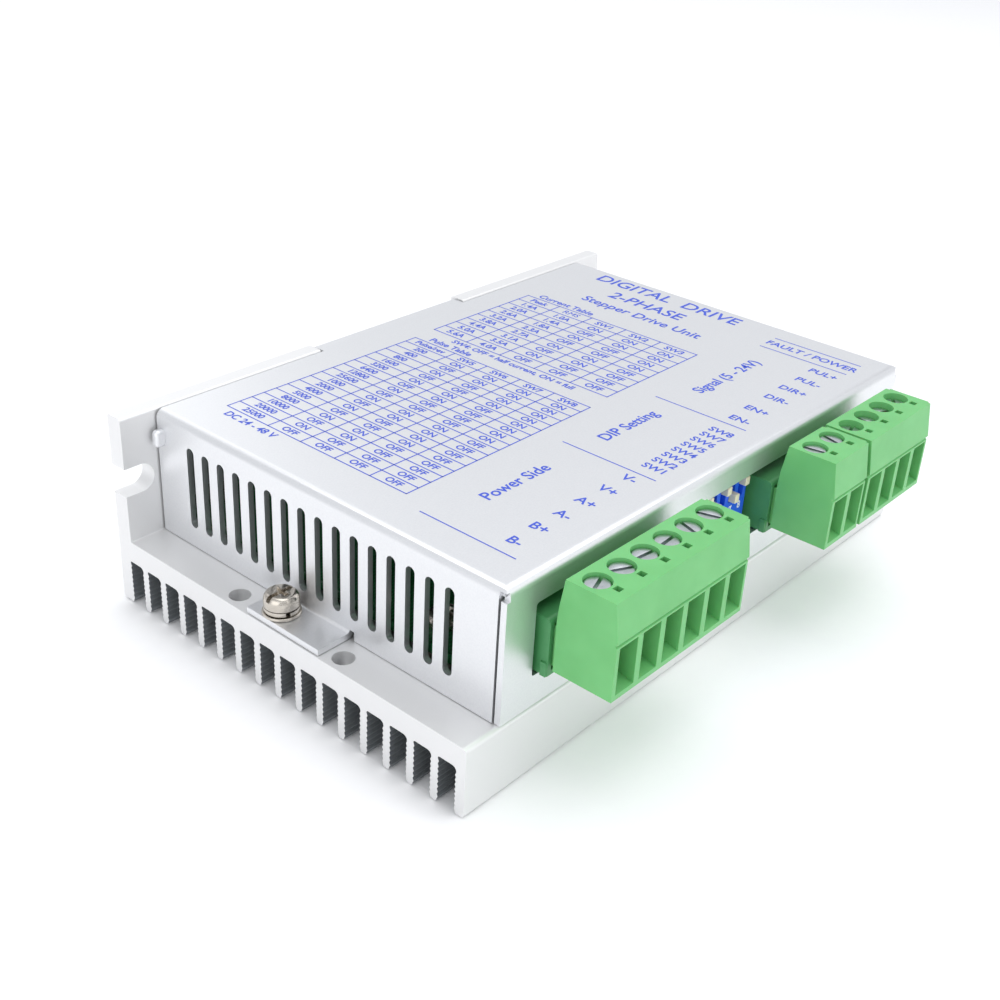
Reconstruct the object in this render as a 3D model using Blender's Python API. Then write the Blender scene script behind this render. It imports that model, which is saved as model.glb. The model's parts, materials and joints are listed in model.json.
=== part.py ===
"""Two-phase digital stepper driver module.

A finned aluminium angle carries a folded sheet cover over a circuit board. Three pluggable
screw-terminal blocks, an eight-way slide switch and two indicator lights face the front.

Every size is in millimetres and is measured from the heatsink's lower front corner at the
vent end: X runs along the module, Y from the front to the back wall, Z up from the fin tips.
placed() turns such a point into metres about the middle of the base.
"""

from math import cos, radians, sin, tau

import bmesh
import bpy
from mathutils import Matrix, Vector

# Overall sizes
LENGTH = 118.0
WIDTH = 75.5
HEIGHT = 33.0
PLUG_OVERHANG = 12.2
GAP = 0.1
OVERCUT = 1.0

# Heatsink: an L-shaped extrusion, its plate finned below
WALL = 3.2
PLATE_TOP = 11.5
PLATE_BOTTOM = 7.8
FIN_GAPS = 16
FIN_PITCH = 4.53
FIN_GAP = 3.35
FIRST_GAP_BACK = 72.9
TIP_RADIUS = 0.35
ROOT_RADIUS = 0.8
FRONT_RADIUS = 0.6
SLOT_WIDTH = 4.8
SLOT_INSET = 3.0
SLOT_HEIGHT = 22.0
LEDGE_HOLE_X = 2.6
LEDGE_HOLE_RADIUS = 1.7
EARTH_X = 3.05
EARTH_GAP = 7
EARTH_HEAD_RADIUS = 2.7
EARTH_HEAD_HEIGHT = 2.1
EARTH_SLOT_HALF = 0.35
EARTH_CROSS_HALF = (0.4, 1.5)
EARTH_WASHERS = (  # name, radius, thickness, degrees left open
    ("earth_flat_washer", 2.95, 0.5, 0),
    ("earth_spring_washer", 2.7, 0.8, 14),
)
WASHER_TURN = 250
LEDGE_GAPS = (5, 10)

# Cover: one folded sheet with a top, two ends, a front flange, a back tab and an earth tab
SHEET = 1.0
BEND = 1.4
COVER_END = 6.4
COVER_FRONT = 0.1
COVER_BACK = 72.0
COVER_BOTTOM = 11.6
COVER_TOP = 32.8
WING_INSET = 0.15
TAB_LEFT = 41.0
TAB_RIGHT = 76.0
TAB_DROP = 22.0
TAB_BACK = 75.45
TAB_CLEARANCE = 0.4
TAB_SCREW_INSET = 6.0
TAB_SCREW_RISE = 4.0
TAB_SCREW_BORE = 1.35
TAB_SCREW_RADIUS = 1.2
TAB_SCREW_HEAD = 2.3
TAB_SCREW_LENGTH = 2.9
COUNTERSINK = (1.45, 2.55)
EARTH_TAB_FRONT = 28.7
EARTH_TAB_BACK = 44.1
EARTH_TAB_TIP = 0.3
EARTH_BEND = 0.4
RELIEF = 0.9
CORNER_GAP = 0.3
VENTS = 16
FIRST_VENT = 64.0
VENT_PITCH = 3.62
VENT_WIDTH = 1.7
VENT_BOTTOM = 15.1
VENT_TOP = 29.0
CUTOUT_LEFT = 12.6
CUTOUT_RIGHT = 101.6
CUTOUT_BOTTOM = 16.6
CUTOUT_TOP = 28.3

# Board and what stands on it
BOARD_BOTTOM = 15.2
BOARD_TOP = 16.8
BOARD_END = 8.4
BOARD_FRONT = 2.6
BOARD_BACK = 70.2
STANDOFF_X = 13.5
STANDOFF_GAPS = (1, 12)
SCREW_RADIUS = 1.45
THREAD_CLEARANCE = 0.1
BOARD_BORE = 1.65
STANDOFF_RADIUS = 2.75
STANDOFF_HEIGHT = 3.4
BOARD_HEAD_RADIUS = 2.7
BOARD_HEAD_HEIGHT = 1.8
SCREW_TIP_CLEARANCE = 0.5
PAD_FRONT_LEFT = (28.0, 8.0)
PAD_BACK_RIGHT = (98.0, 24.0)
CAPACITORS = (("capacitor_left", 26.0), ("capacitor_right", 38.5))
CAPACITOR_Y = 54.0
CAPACITOR_RADIUS = 5.0
CAPACITOR_HEIGHT = 13.0
CAPACITOR_EDGE = 0.4

# Terminal plugs and headers on the 5.08 grid: name, ways, first screw's X, screw heads' depth
POLE = 5.08
BLOCKS = (("6way", 6, 16.5, 0.5), ("2way", 2, 71.1, 0.5), ("4way", 4, 82.4, 1.0))
SCREW_Y = -6.3
PLUG_TOP = 33.0
PLUG_LEFT = 2.75
PLUG_RIGHT = 2.45
LIP = 0.42
LIP_HEIGHT = 2.5
LIP_Y = (-10.9, -3.9)
PLUG_SIDE = (  # Y and Z round one end of a plug's body
    (-2.4, 18.2),
    (-2.4, 26.3),
    (-2.6, 28.5),
    (-3.3, 33.0),
    (-11.4, 33.0),
    (-12.2, 27.4),
    (-12.1, 18.2),
)
WELL_RADIUS = 2.0
WELL_DEPTH = 4.4
ENTRY_WIDTH = 3.9
ENTRY_BOTTOM = 18.95
ENTRY_TOP = 26.3
ENTRY_BACK = -3.5
TEST_HOLE = 1.1
TEST_HOLE_Y = -9.3
TEST_HOLE_SHIFT = 0.3
INSERT_HALF = 2.0
INSERT_BOTTOM = 18.4
INSERT_TOP = 24.8
INSERT_BACK = 6.2
INSERT_FRONT = -2.8
PIN_HOLE = 1.4
PIN_Z = 21.6
PIN_HOLE_FRONT = -1.5
HEADER_HALF = 2.95
HEADER_FRONT = -1.7
HEADER_BACK = 10.3
HEADER_BOTTOM = 17.0
HEADER_TOP = 26.0
HEADER_WALL = 0.8
HEADER_BACK_WALL = 1.5
HEADER_NOSE = 0.9
CLAMP_RADIUS = 1.2
CLAMP_HEAD = 1.85
CLAMP_HEAD_HEIGHT = 1.3
CLAMP_SLOT = (0.28, 0.75)
CLAMP_EDGE = 0.2
CLAMP_POINT = 0.3
CLAMP_LENGTH = 9.3
SLOT_ANGLES = (20, -26, -6, 4, 72, -72, -79, 74, 15, 80, -25, 40)

# Wire cage in each way: a box that the screw lifts to clamp the wire
CAGE_HALF = 1.75
CAGE_BOTTOM = 19.15
CAGE_TOP = 24.3
CAGE_FRONT = -8.6
CAGE_BACK = -4.0
CAGE_SIDE = 0.4
CAGE_ROOF = 1.2

# Slide switch
SWITCH_WAYS = 8
SWITCH_PITCH = 2.54
SWITCH_CENTRE = 56.1
SWITCH_LENGTH = 21.0
SWITCH_FRONT = 2.0
SWITCH_BACK = 8.0
SWITCH_BOTTOM = 17.1
SWITCH_TOP = 29.3
WINDOW_HEIGHT = 4.0
WINDOW_DEPTH = 1.4
KNOB_UP = 26.5
KNOB_TRAVEL = 2.2
KNOB_WIDTH = 1.2
KNOB_CLEARANCE = 0.15
KNOB_HEIGHT = 1.5
KNOB_FRONT = 0.9
SWITCHES_UP = (1, 4, 6, 8)

# Indicator lights
LIGHT_XS = (104.6, 108.4)
LIGHT_Z = 24.0
LIGHT_RADIUS = 1.5
LIGHT_HOLE = 1.7
LIGHT_RIM = 1.8
LIGHT_LENGTH = 4.6
LIGHT_Y = 0.4

ALUMINIUM = ("anodised_aluminium", (0.60, 0.61, 0.63), 1.0, 0.45)
STEEL = ("plated_steel", (0.66, 0.66, 0.65), 1.0, 0.28)
COVER_SHEET = ("cover_sheet", (0.70, 0.71, 0.73), 0.85, 0.38)
PLUG_GREEN = ("plug_green", (0.25, 0.60, 0.27), 0.0, 0.45)
HEADER_GREEN = ("header_green", (0.07, 0.27, 0.13), 0.0, 0.5)
BOARD_GREEN = ("board_green", (0.02, 0.11, 0.05), 0.0, 0.4)
SWITCH_BLUE = ("switch_blue", (0.02, 0.12, 0.75), 0.0, 0.4)
KNOB_CREAM = ("knob_cream", (0.85, 0.80, 0.62), 0.0, 0.5)
SLEEVE_BLACK = ("sleeve_black", (0.02, 0.02, 0.025), 0.0, 0.35)
PAD_GREY = ("pad_grey", (0.35, 0.38, 0.42), 0.0, 0.8)
LENS_GREEN = ("lens_green", (0.10, 0.70, 0.20), 0.0, 0.2)
LENS_RED = ("lens_red", (0.75, 0.06, 0.04), 0.0, 0.2)
BRASS = ("tinned_brass", (0.62, 0.58, 0.48), 1.0, 0.35)


def placed(x, y, z):
    """A point of the corner-based millimetre frame, in metres about the middle of the base."""
    depth = WIDTH + PLUG_OVERHANG
    return Vector((x - LENGTH / 2, y + PLUG_OVERHANG - depth / 2, z)) / 1000


def arc(centre_a, centre_b, radius, start, end, steps):
    """Points on a circular arc in a plane, from start to end degrees."""
    turns = [radians(start + (end - start) * i / steps) for i in range(steps + 1)]
    return [(centre_a + radius * cos(t), centre_b + radius * sin(t)) for t in turns]


def circle(centre_a, centre_b, radius, steps):
    return arc(centre_a, centre_b, radius, 0, 360, steps)[:-1]


def rectangle(low_a, low_b, high_a, high_b):
    return [(low_a, low_b), (high_a, low_b), (high_a, high_b), (low_a, high_b)]


def prism(outline, low, high, axis):
    """A closed bar whose outline, in the plane across axis, runs from low to high along it."""
    spot = {
        "X": lambda a, b, c: (c, a, b),
        "Y": lambda a, b, c: (a, c, b),
        "Z": lambda a, b, c: (a, b, c),
    }[axis]
    bm = bmesh.new()
    ends = [[bm.verts.new(spot(a, b, c)) for a, b in outline] for c in (low, high)]
    for end in ends:
        bm.faces.new(end)
    for i in range(len(outline)):
        j = (i + 1) % len(outline)
        bm.faces.new((ends[0][i], ends[0][j], ends[1][j], ends[1][i]))
    bmesh.ops.recalc_face_normals(bm, faces=bm.faces)
    return bm


def box(low, high):
    return prism(rectangle(low[0], low[1], high[0], high[1]), low[2], high[2], "Z")


def turned(profile, steps):
    """A closed body turned about Z from (radius, height) points that start and end at radius 0."""
    bm = bmesh.new()
    rings = []
    for radius, height in profile:
        if radius == 0:
            rings.append([bm.verts.new((0, 0, height))])
            continue
        spots = [tau * i / steps for i in range(steps)]
        rings.append([bm.verts.new((radius * cos(t), radius * sin(t), height)) for t in spots])
    for lower, upper in zip(rings, rings[1:]):
        for i in range(steps):
            j = (i + 1) % steps
            around = (lower[i % len(lower)], lower[j % len(lower)])
            around += (upper[j % len(upper)], upper[i % len(upper)])
            bm.faces.new(list(dict.fromkeys(around)))
    bmesh.ops.recalc_face_normals(bm, faces=bm.faces)
    return bm


def joined(parts):
    """Several meshes as one, each still its own body."""
    whole = bmesh.new()
    for part in parts:
        mesh = bpy.data.meshes.new("part")
        part.to_mesh(mesh)
        part.free()
        whole.from_mesh(mesh)
        bpy.data.meshes.remove(mesh)
    return whole


def moved(bm, offset, turn=None):
    matrix = Matrix.Translation(offset)
    if turn:
        matrix = matrix @ Matrix.Rotation(radians(turn[0]), 4, turn[1])
    bmesh.ops.transform(bm, matrix=matrix, verts=bm.verts)
    return bm


def material(finish):
    name, colour, metallic, roughness = finish
    made = bpy.data.materials.get(name)
    if made:
        return made
    made = bpy.data.materials.new(name)
    made.use_nodes = True
    shader = made.node_tree.nodes["Principled BSDF"]
    shader.inputs["Base Color"].default_value = (*colour, 1)
    shader.inputs["Metallic"].default_value = metallic
    shader.inputs["Roughness"].default_value = roughness
    return made


def mesh_of(name, bm, finish=None):
    """A mesh in metres from a millimetre bmesh that is drawn about its object's own origin."""
    bmesh.ops.scale(bm, vec=(0.001, 0.001, 0.001), verts=bm.verts)
    mesh = bpy.data.meshes.new(name)
    bm.to_mesh(mesh)
    bm.free()
    if finish:
        mesh.materials.append(material(finish))
        mesh.shade_smooth()
        mesh.set_sharp_from_angle(angle=radians(35))
    return mesh


def add(name, mesh, origin, parent=None, turn=0):
    """An object at a point of the corner-based frame, turned about Z by turn degrees."""
    obj = bpy.data.objects.new(name, mesh)
    obj.location = placed(*origin)
    obj.rotation_euler.z = radians(turn)
    if parent:
        obj.parent = parent
        obj.location -= parent.location
    bpy.context.scene.collection.objects.link(obj)
    return obj


def fixed(name, bm, finish):
    """A piece drawn straight in the corner-based frame, with its origin at that frame's corner."""
    return add(name, mesh_of(name, bm, finish), (0, 0, 0))


def shaped(obj, tool_name, bm, operation):
    """Cuts a piece with a hidden tool, or joins the tool to it, in the piece's own frame."""
    tool = bpy.data.objects.new(f"{obj.name}_{tool_name}", mesh_of(tool_name, bm))
    tool.parent = obj
    tool.hide_render = True
    tool.display_type = "WIRE"
    bpy.context.scene.collection.objects.link(tool)
    boolean = obj.modifiers.new(tool_name, "BOOLEAN")
    boolean.operation = operation
    boolean.solver = "EXACT"
    boolean.object = tool


def gap_centre(index):
    """The Y of the middle of one gap between fins, counted from the back wall."""
    return FIRST_GAP_BACK - FIN_GAP / 2 - FIN_PITCH * index


def heatsink():
    wall_face = WIDTH - WALL
    outline = [(WIDTH, 0), (WIDTH, HEIGHT), (wall_face, HEIGHT), (wall_face, PLATE_TOP)]
    outline += arc(FRONT_RADIUS, PLATE_TOP - FRONT_RADIUS, FRONT_RADIUS, 90, 180, 3)
    fin_front = 0.0
    for index in reversed(range(FIN_GAPS)):
        back = FIRST_GAP_BACK - FIN_PITCH * index
        front = back - FIN_GAP
        outline += arc(fin_front + TIP_RADIUS, TIP_RADIUS, TIP_RADIUS, 180, 270, 2)
        outline += arc(front - TIP_RADIUS, TIP_RADIUS, TIP_RADIUS, 270, 360, 2)
        root_b = PLATE_BOTTOM - ROOT_RADIUS
        outline += arc(front + ROOT_RADIUS, root_b, ROOT_RADIUS, 180, 90, 2)
        outline.append((back, PLATE_BOTTOM))
        fin_front = back
    outline += arc(fin_front + TIP_RADIUS, TIP_RADIUS, TIP_RADIUS, 180, 270, 2)
    body = fixed("heatsink", prism(outline, 0, LENGTH, "X"), ALUMINIUM)

    # The ends of the wall are slotted, open outwards, for the two mounting screws.
    slots = []
    for inner, outer in ((SLOT_INSET, -OVERCUT), (LENGTH - SLOT_INSET, LENGTH + OVERCUT)):
        start = 90 if outer > inner else -90
        end = arc(inner, SLOT_HEIGHT, SLOT_WIDTH / 2, start, start + 180, 8)
        half = SLOT_WIDTH / 2 * (1 if outer > inner else -1)
        tail = [(outer, SLOT_HEIGHT - half), (outer, SLOT_HEIGHT + half)]
        slots.append(prism(end + tail, wall_face - OVERCUT, WIDTH + OVERCUT, "Y"))
    shaped(body, "end_slots", joined(slots), "DIFFERENCE")

    # The cover's back tab lies in a notch of the wall's top and a recess of its outer face.
    notch_floor = COVER_TOP - SHEET - 2 * GAP
    recess_floor = TAB_BACK - SHEET - GAP
    step = [
        (wall_face - OVERCUT, notch_floor),
        (recess_floor, notch_floor),
        (recess_floor, TAB_DROP - TAB_CLEARANCE),
        (WIDTH + OVERCUT, TAB_DROP - TAB_CLEARANCE),
        (WIDTH + OVERCUT, HEIGHT + OVERCUT),
        (wall_face - OVERCUT, HEIGHT + OVERCUT),
    ]
    recess = prism(step, TAB_LEFT - TAB_CLEARANCE, TAB_RIGHT + TAB_CLEARANCE, "X")
    shaped(body, "tab_recess", recess, "DIFFERENCE")

    holes = []
    for x in (LEDGE_HOLE_X, LENGTH - LEDGE_HOLE_X):
        holes += [(x, gap_centre(i), LEDGE_HOLE_RADIUS) for i in LEDGE_GAPS]
    holes.append((EARTH_X, gap_centre(EARTH_GAP), SCREW_RADIUS + THREAD_CLEARANCE))
    for x, y in standoff_places():
        holes.append((x, y, SCREW_RADIUS + THREAD_CLEARANCE))
    drills = [
        prism(circle(x, y, radius, 16), PLATE_BOTTOM - 0.3, PLATE_TOP + OVERCUT, "Z")
        for x, y, radius in holes
    ]
    for x in tab_screw_xs():
        outline = circle(x, tab_screw_z(), TAB_SCREW_BORE, 12)
        drills.append(prism(outline, wall_face - OVERCUT, WIDTH, "Y"))
    shaped(body, "holes", joined(drills), "DIFFERENCE")


def standoff_places():
    ends = (STANDOFF_X, LENGTH - STANDOFF_X)
    return [(x, gap_centre(i)) for i in STANDOFF_GAPS for x in ends]


def tab_screw_xs():
    return (TAB_LEFT + TAB_SCREW_INSET, TAB_RIGHT - TAB_SCREW_INSET)


def tab_screw_z():
    return TAB_DROP + TAB_SCREW_RISE


def cover():
    """The outer skin as one open surface, thickened inwards."""
    bm = bmesh.new()
    spots = {}

    def spot(x, y, z):
        key = (round(x, 4), round(y, 4), round(z, 4))
        if key not in spots:
            spots[key] = bm.verts.new(key)
        return spots[key]

    def face(*corners):
        bm.faces.new([spot(*corner) for corner in corners])

    def strip(path, low, high, axis):
        """Quads along a path of points in the plane across axis."""
        for (a, b), (c, d) in zip(path, path[1:]):
            if axis == "Y":
                face((a, low, b), (c, low, d), (c, high, d), (a, high, b))
            else:
                face((low, a, b), (low, c, d), (high, c, d), (high, a, b))

    end, far = COVER_END, LENGTH - COVER_END
    front = COVER_FRONT
    flat_left, flat_right, flat_front = end + BEND, far - BEND, front + BEND
    shoulder = COVER_TOP - BEND
    face(
        (flat_left, flat_front, COVER_TOP),
        (flat_right, flat_front, COVER_TOP),
        (flat_right, COVER_BACK, COVER_TOP),
        (TAB_RIGHT, COVER_BACK, COVER_TOP),
        (TAB_LEFT, COVER_BACK, COVER_TOP),
        (flat_left, COVER_BACK, COVER_TOP),
    )
    strip(arc(flat_left, shoulder, BEND, 90, 180, 4), flat_front, COVER_BACK, "Y")
    strip(arc(flat_right, shoulder, BEND, 0, 90, 4), flat_front, COVER_BACK, "Y")
    strip(arc(flat_front, shoulder, BEND, 180, 90, 4), flat_left, flat_right, "X")
    wing_left, wing_right = end + WING_INSET, far - WING_INSET
    face(
        (wing_left, front, COVER_BOTTOM),
        (wing_right, front, COVER_BOTTOM),
        (wing_right, front, shoulder),
        (flat_right, front, shoulder),
        (flat_left, front, shoulder),
        (wing_left, front, shoulder),
    )

    wall_front = front + SHEET + CORNER_GAP
    notch_top = COVER_BOTTOM + SHEET + EARTH_BEND
    tab = [
        (end, EARTH_TAB_BACK + RELIEF, COVER_BOTTOM),
        (end, EARTH_TAB_BACK + RELIEF, notch_top),
        (end, EARTH_TAB_BACK, notch_top),
        (end, EARTH_TAB_FRONT, notch_top),
        (end, EARTH_TAB_FRONT - RELIEF, notch_top),
        (end, EARTH_TAB_FRONT - RELIEF, COVER_BOTTOM),
    ]
    face(
        (end, COVER_BACK, shoulder),
        (end, COVER_BACK, COVER_BOTTOM),
        *tab,
        (end, wall_front, COVER_BOTTOM),
        (end, wall_front, shoulder),
        (end, flat_front, shoulder),
    )
    face(
        (far, flat_front, shoulder),
        (far, wall_front, shoulder),
        (far, wall_front, COVER_BOTTOM),
        (far, COVER_BACK, COVER_BOTTOM),
        (far, COVER_BACK, shoulder),
    )

    # The earth tab turns outwards onto the ledge, the back tab over the wall and down.
    foot = arc(end - EARTH_BEND, notch_top, EARTH_BEND, 0, -90, 3)
    strip([*foot, (EARTH_TAB_TIP, foot[-1][1])], EARTH_TAB_FRONT, EARTH_TAB_BACK, "Y")
    hook = arc(TAB_BACK - BEND, shoulder, BEND, 90, 0, 4)
    strip([(COVER_BACK, COVER_TOP), *hook, (TAB_BACK, TAB_DROP)], TAB_LEFT, TAB_RIGHT, "X")

    bmesh.ops.recalc_face_normals(bm, faces=bm.faces)
    roof = max(bm.faces, key=lambda f: f.calc_area() * f.normal.z**2)
    if roof.normal.z < 0:
        bmesh.ops.reverse_faces(bm, faces=bm.faces)
    body = fixed("cover", bm, COVER_SHEET)
    thickness = body.modifiers.new("sheet", "SOLIDIFY")
    thickness.thickness = SHEET / 1000
    thickness.offset = -1
    thickness.use_even_offset = True
    thickness.use_rim = True

    radius = VENT_WIDTH / 2
    vents = []
    for i in range(VENTS):
        y = FIRST_VENT - VENT_PITCH * i
        outline = arc(y, VENT_TOP - radius, radius, 0, 180, 4)
        outline += arc(y, VENT_BOTTOM + radius, radius, 180, 360, 4)
        vents.append(prism(outline, end - OVERCUT, far + OVERCUT, "X"))
    shaped(body, "vents", joined(vents), "DIFFERENCE")

    cuts = [
        box(
            (CUTOUT_LEFT, front - OVERCUT, CUTOUT_BOTTOM),
            (CUTOUT_RIGHT, flat_front, CUTOUT_TOP),
        )
    ]
    for x in LIGHT_XS:
        cuts.append(prism(circle(x, LIGHT_Z, LIGHT_HOLE, 16), front - OVERCUT, flat_front, "Y"))
    hole = circle(EARTH_X, gap_centre(EARTH_GAP), LEDGE_HOLE_RADIUS, 16)
    cuts.append(prism(hole, COVER_BOTTOM - OVERCUT, COVER_BOTTOM + 2 * SHEET, "Z"))
    for x in tab_screw_xs():
        narrow, wide = COUNTERSINK
        cone = [(0, -SHEET - GAP), (narrow, -SHEET - GAP), (narrow, -SHEET)]
        cone = turned([*cone, (wide, GAP), (0, GAP)], 16)
        cuts.append(moved(cone, (x, TAB_BACK, tab_screw_z()), (-90, "X")))
    shaped(body, "cutouts", joined(cuts), "DIFFERENCE")


def pan_screw(head_radius, head_height, length, steps):
    """A pan-head screw about Z, its head's underside at Z 0."""
    profile = [(0, -length), (SCREW_RADIUS, -length), (SCREW_RADIUS, 0), (head_radius, 0)]
    profile += [(head_radius, head_height * 0.55), (head_radius * 0.8, head_height * 0.92)]
    profile += [(head_radius * 0.5, head_height), (0, head_height)]
    return turned(profile, steps)


def earth_point():
    """The flat washer, the split spring washer and the screw that clamp the earth tab."""
    x, y = EARTH_X, gap_centre(EARTH_GAP)
    bore = SCREW_RADIUS + THREAD_CLEARANCE
    top = COVER_BOTTOM + SHEET
    for name, outer, thick, split in EARTH_WASHERS:
        low, top = top + GAP / 2, top + GAP / 2 + thick
        steps = 24
        span = (split / 2, 360 - split / 2) if split else (0, 360)
        edge = arc(0, 0, outer, *span, steps)
        inside = arc(0, 0, bore, *reversed(span), steps)
        if split:
            washer = prism(edge + inside, 0, thick, "Z")
        else:
            washer = bridged_ring(edge[:-1], inside[:-1], thick)
        add(name, mesh_of(name, washer, STEEL), (x, y, low), turn=WASHER_TURN)
    origin = (x, y, top + GAP / 2)
    length = origin[2] - PLATE_BOTTOM - SCREW_TIP_CLEARANCE
    screw = pan_screw(EARTH_HEAD_RADIUS, EARTH_HEAD_HEIGHT, length, 20)
    body = add("earth_screw", mesh_of("earth_screw", screw, STEEL), origin)
    end, half = EARTH_HEAD_RADIUS + OVERCUT, EARTH_SLOT_HALF
    above = EARTH_HEAD_HEIGHT + OVERCUT
    slot = prism(rectangle(-end, -half, end, half), EARTH_HEAD_HEIGHT * 0.55, above, "Z")
    shaped(body, "slot", slot, "DIFFERENCE")
    half, end = EARTH_CROSS_HALF
    cross = prism(rectangle(-half, -end, half, end), EARTH_HEAD_HEIGHT * 0.4, above, "Z")
    shaped(body, "cross", cross, "DIFFERENCE")


def bridged_ring(edge, inside, thick):
    """A flat ring between two loops that run opposite ways."""
    inside = [inside[0], *reversed(inside[1:])]
    bm = bmesh.new()
    loops = [
        [bm.verts.new((a, b, z)) for a, b in loop]
        for loop, z in ((edge, 0), (edge, thick), (inside, thick), (inside, 0))
    ]
    for first, second in zip(loops, loops[1:] + loops[:1]):
        for i in range(len(edge)):
            j = (i + 1) % len(edge)
            bm.faces.new((first[i], first[j], second[j], second[i]))
    bmesh.ops.recalc_face_normals(bm, faces=bm.faces)
    return bm


def cover_screws():
    """Countersunk screws that hold the cover's back tab to the wall."""
    for side, x in zip(("left", "right"), tab_screw_xs()):
        profile = [(0, -TAB_SCREW_LENGTH), (TAB_SCREW_RADIUS, -TAB_SCREW_LENGTH)]
        profile += [(TAB_SCREW_RADIUS, -SHEET - GAP), (TAB_SCREW_HEAD, -GAP)]
        profile += [(TAB_SCREW_HEAD, 0), (0, 0)]
        screw = moved(turned(profile, 16), (0, 0, 0), (-90, "X"))
        name = f"cover_screw_{side}"
        body = add(name, mesh_of(name, screw, STEEL), (x, TAB_BACK - GAP / 2, tab_screw_z()))
        slot = box((-1.3, -0.7, -0.3), (1.3, OVERCUT, 0.3))
        shaped(body, "slot", slot, "DIFFERENCE")


def board():
    outline = rectangle(BOARD_END, BOARD_FRONT, LENGTH - BOARD_END, BOARD_BACK)
    body = fixed("main_board", prism(outline, BOARD_BOTTOM, BOARD_TOP, "Z"), BOARD_GREEN)
    drills = [
        prism(circle(x, y, BOARD_BORE, 12), BOARD_BOTTOM - OVERCUT, BOARD_TOP + OVERCUT, "Z")
        for x, y in standoff_places()
    ]
    shaped(body, "holes", joined(drills), "DIFFERENCE")

    places = ("back_left", "back_right", "front_left", "front_right")
    for place, (x, y) in zip(places, standoff_places()):
        bore = circle(0, 0, BOARD_BORE, 12)[::-1]
        post = bridged_ring(circle(0, 0, STANDOFF_RADIUS, 12), bore, STANDOFF_HEIGHT)
        name = f"standoff_{place}"
        add(name, mesh_of(name, post, BRASS), (x, y, PLATE_TOP + GAP))
        name = f"board_screw_{place}"
        length = BOARD_TOP - PLATE_BOTTOM - SCREW_TIP_CLEARANCE
        screw = pan_screw(BOARD_HEAD_RADIUS, BOARD_HEAD_HEIGHT, length, 14)
        add(name, mesh_of(name, screw, STEEL), (x, y, BOARD_TOP + GAP))

    pad = box((*PAD_FRONT_LEFT, PLATE_TOP + GAP), (*PAD_BACK_RIGHT, BOARD_BOTTOM - GAP))
    fixed("thermal_pad", pad, PAD_GREY)
    outer, inner = CAPACITOR_RADIUS, CAPACITOR_RADIUS - CAPACITOR_EDGE
    can = [(0, 0), (inner, 0), (outer, CAPACITOR_EDGE), (outer, 1.6), (inner, 1.9), (outer, 2.2)]
    can += [(outer, CAPACITOR_HEIGHT - CAPACITOR_EDGE), (inner, CAPACITOR_HEIGHT)]
    can.append((0, CAPACITOR_HEIGHT))
    for name, x in CAPACITORS:
        mesh = mesh_of(name, turned(can, 20), SLEEVE_BLACK)
        add(name, mesh, (x, CAPACITOR_Y, BOARD_TOP + GAP))


def way_xs(ways, first):
    return [first + POLE * i for i in range(ways)]


def header(name, ways, first):
    """The socket on the board, open at the front, that holds one plug."""
    last = first + POLE * (ways - 1)
    nose = HEADER_FRONT + HEADER_NOSE
    outline = [(HEADER_FRONT, HEADER_BOTTOM), (HEADER_BACK, HEADER_BOTTOM)]
    outline += [(HEADER_BACK, HEADER_TOP)]
    outline += arc(nose, HEADER_TOP - HEADER_NOSE, HEADER_NOSE, 90, 180, 3)
    shell = prism(outline, first - HEADER_HALF, last + HEADER_HALF, "X")
    body = fixed(f"header_{name}", shell, HEADER_GREEN)
    inner = HEADER_HALF - HEADER_WALL
    cavity = box(
        (first - inner, HEADER_FRONT - OVERCUT, HEADER_BOTTOM + HEADER_WALL),
        (last + inner, HEADER_BACK - HEADER_BACK_WALL, HEADER_TOP - HEADER_WALL),
    )
    shaped(body, "cavity", cavity, "DIFFERENCE")


def plug(name, ways, first):
    """One pluggable block: screw wells on top, wire entries in front, contacts behind."""
    last = first + POLE * (ways - 1)
    left, right = -PLUG_LEFT, last - first + PLUG_RIGHT
    block = mesh_of(f"plug_{name}", prism(PLUG_SIDE, left, right, "X"), PLUG_GREEN)
    body = add(block.name, block, (first, 0, 0))

    front, back = LIP_Y
    low = (right - LIP, front, PLUG_TOP - LIP_HEIGHT)
    lip = box(low, (right + LIP, back, PLUG_TOP))
    insert = box(
        (-INSERT_HALF, INSERT_FRONT, INSERT_BOTTOM),
        (last - first + INSERT_HALF, INSERT_BACK, INSERT_TOP),
    )
    shaped(body, "lip_and_insert", joined([lip, insert]), "UNION")

    wells, entries = [], []
    for x in way_xs(ways, 0):
        bottom = ENTRY_TOP - 0.3
        neck = CLAMP_RADIUS + 2 * THREAD_CLEARANCE
        well = [(0, bottom), (neck, bottom), (neck, PLUG_TOP - WELL_DEPTH)]
        well += [(WELL_RADIUS, PLUG_TOP - WELL_DEPTH), (WELL_RADIUS, PLUG_TOP + OVERCUT)]
        well += [(0, PLUG_TOP + OVERCUT)]
        wells.append(moved(turned(well, 16), (x, SCREW_Y, 0)))
        test = TEST_HOLE / 2
        low = (x - test + TEST_HOLE_SHIFT, TEST_HOLE_Y - test, ENTRY_TOP + OVERCUT)
        high = (x + test + TEST_HOLE_SHIFT, TEST_HOLE_Y + test, PLUG_TOP + OVERCUT)
        wells.append(box(low, high))
        pin = PIN_HOLE / 2
        low = (x - pin, PIN_HOLE_FRONT, PIN_Z - pin)
        wells.append(box(low, (x + pin, INSERT_BACK + OVERCUT, PIN_Z + pin)))
        half = ENTRY_WIDTH / 2
        low = (x - half, -PLUG_OVERHANG - OVERCUT, ENTRY_BOTTOM)
        entries.append(box(low, (x + half, ENTRY_BACK, ENTRY_TOP)))
    shaped(body, "wells", joined(wells), "DIFFERENCE")
    shaped(body, "entries", joined(entries), "DIFFERENCE")
    return body


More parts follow.
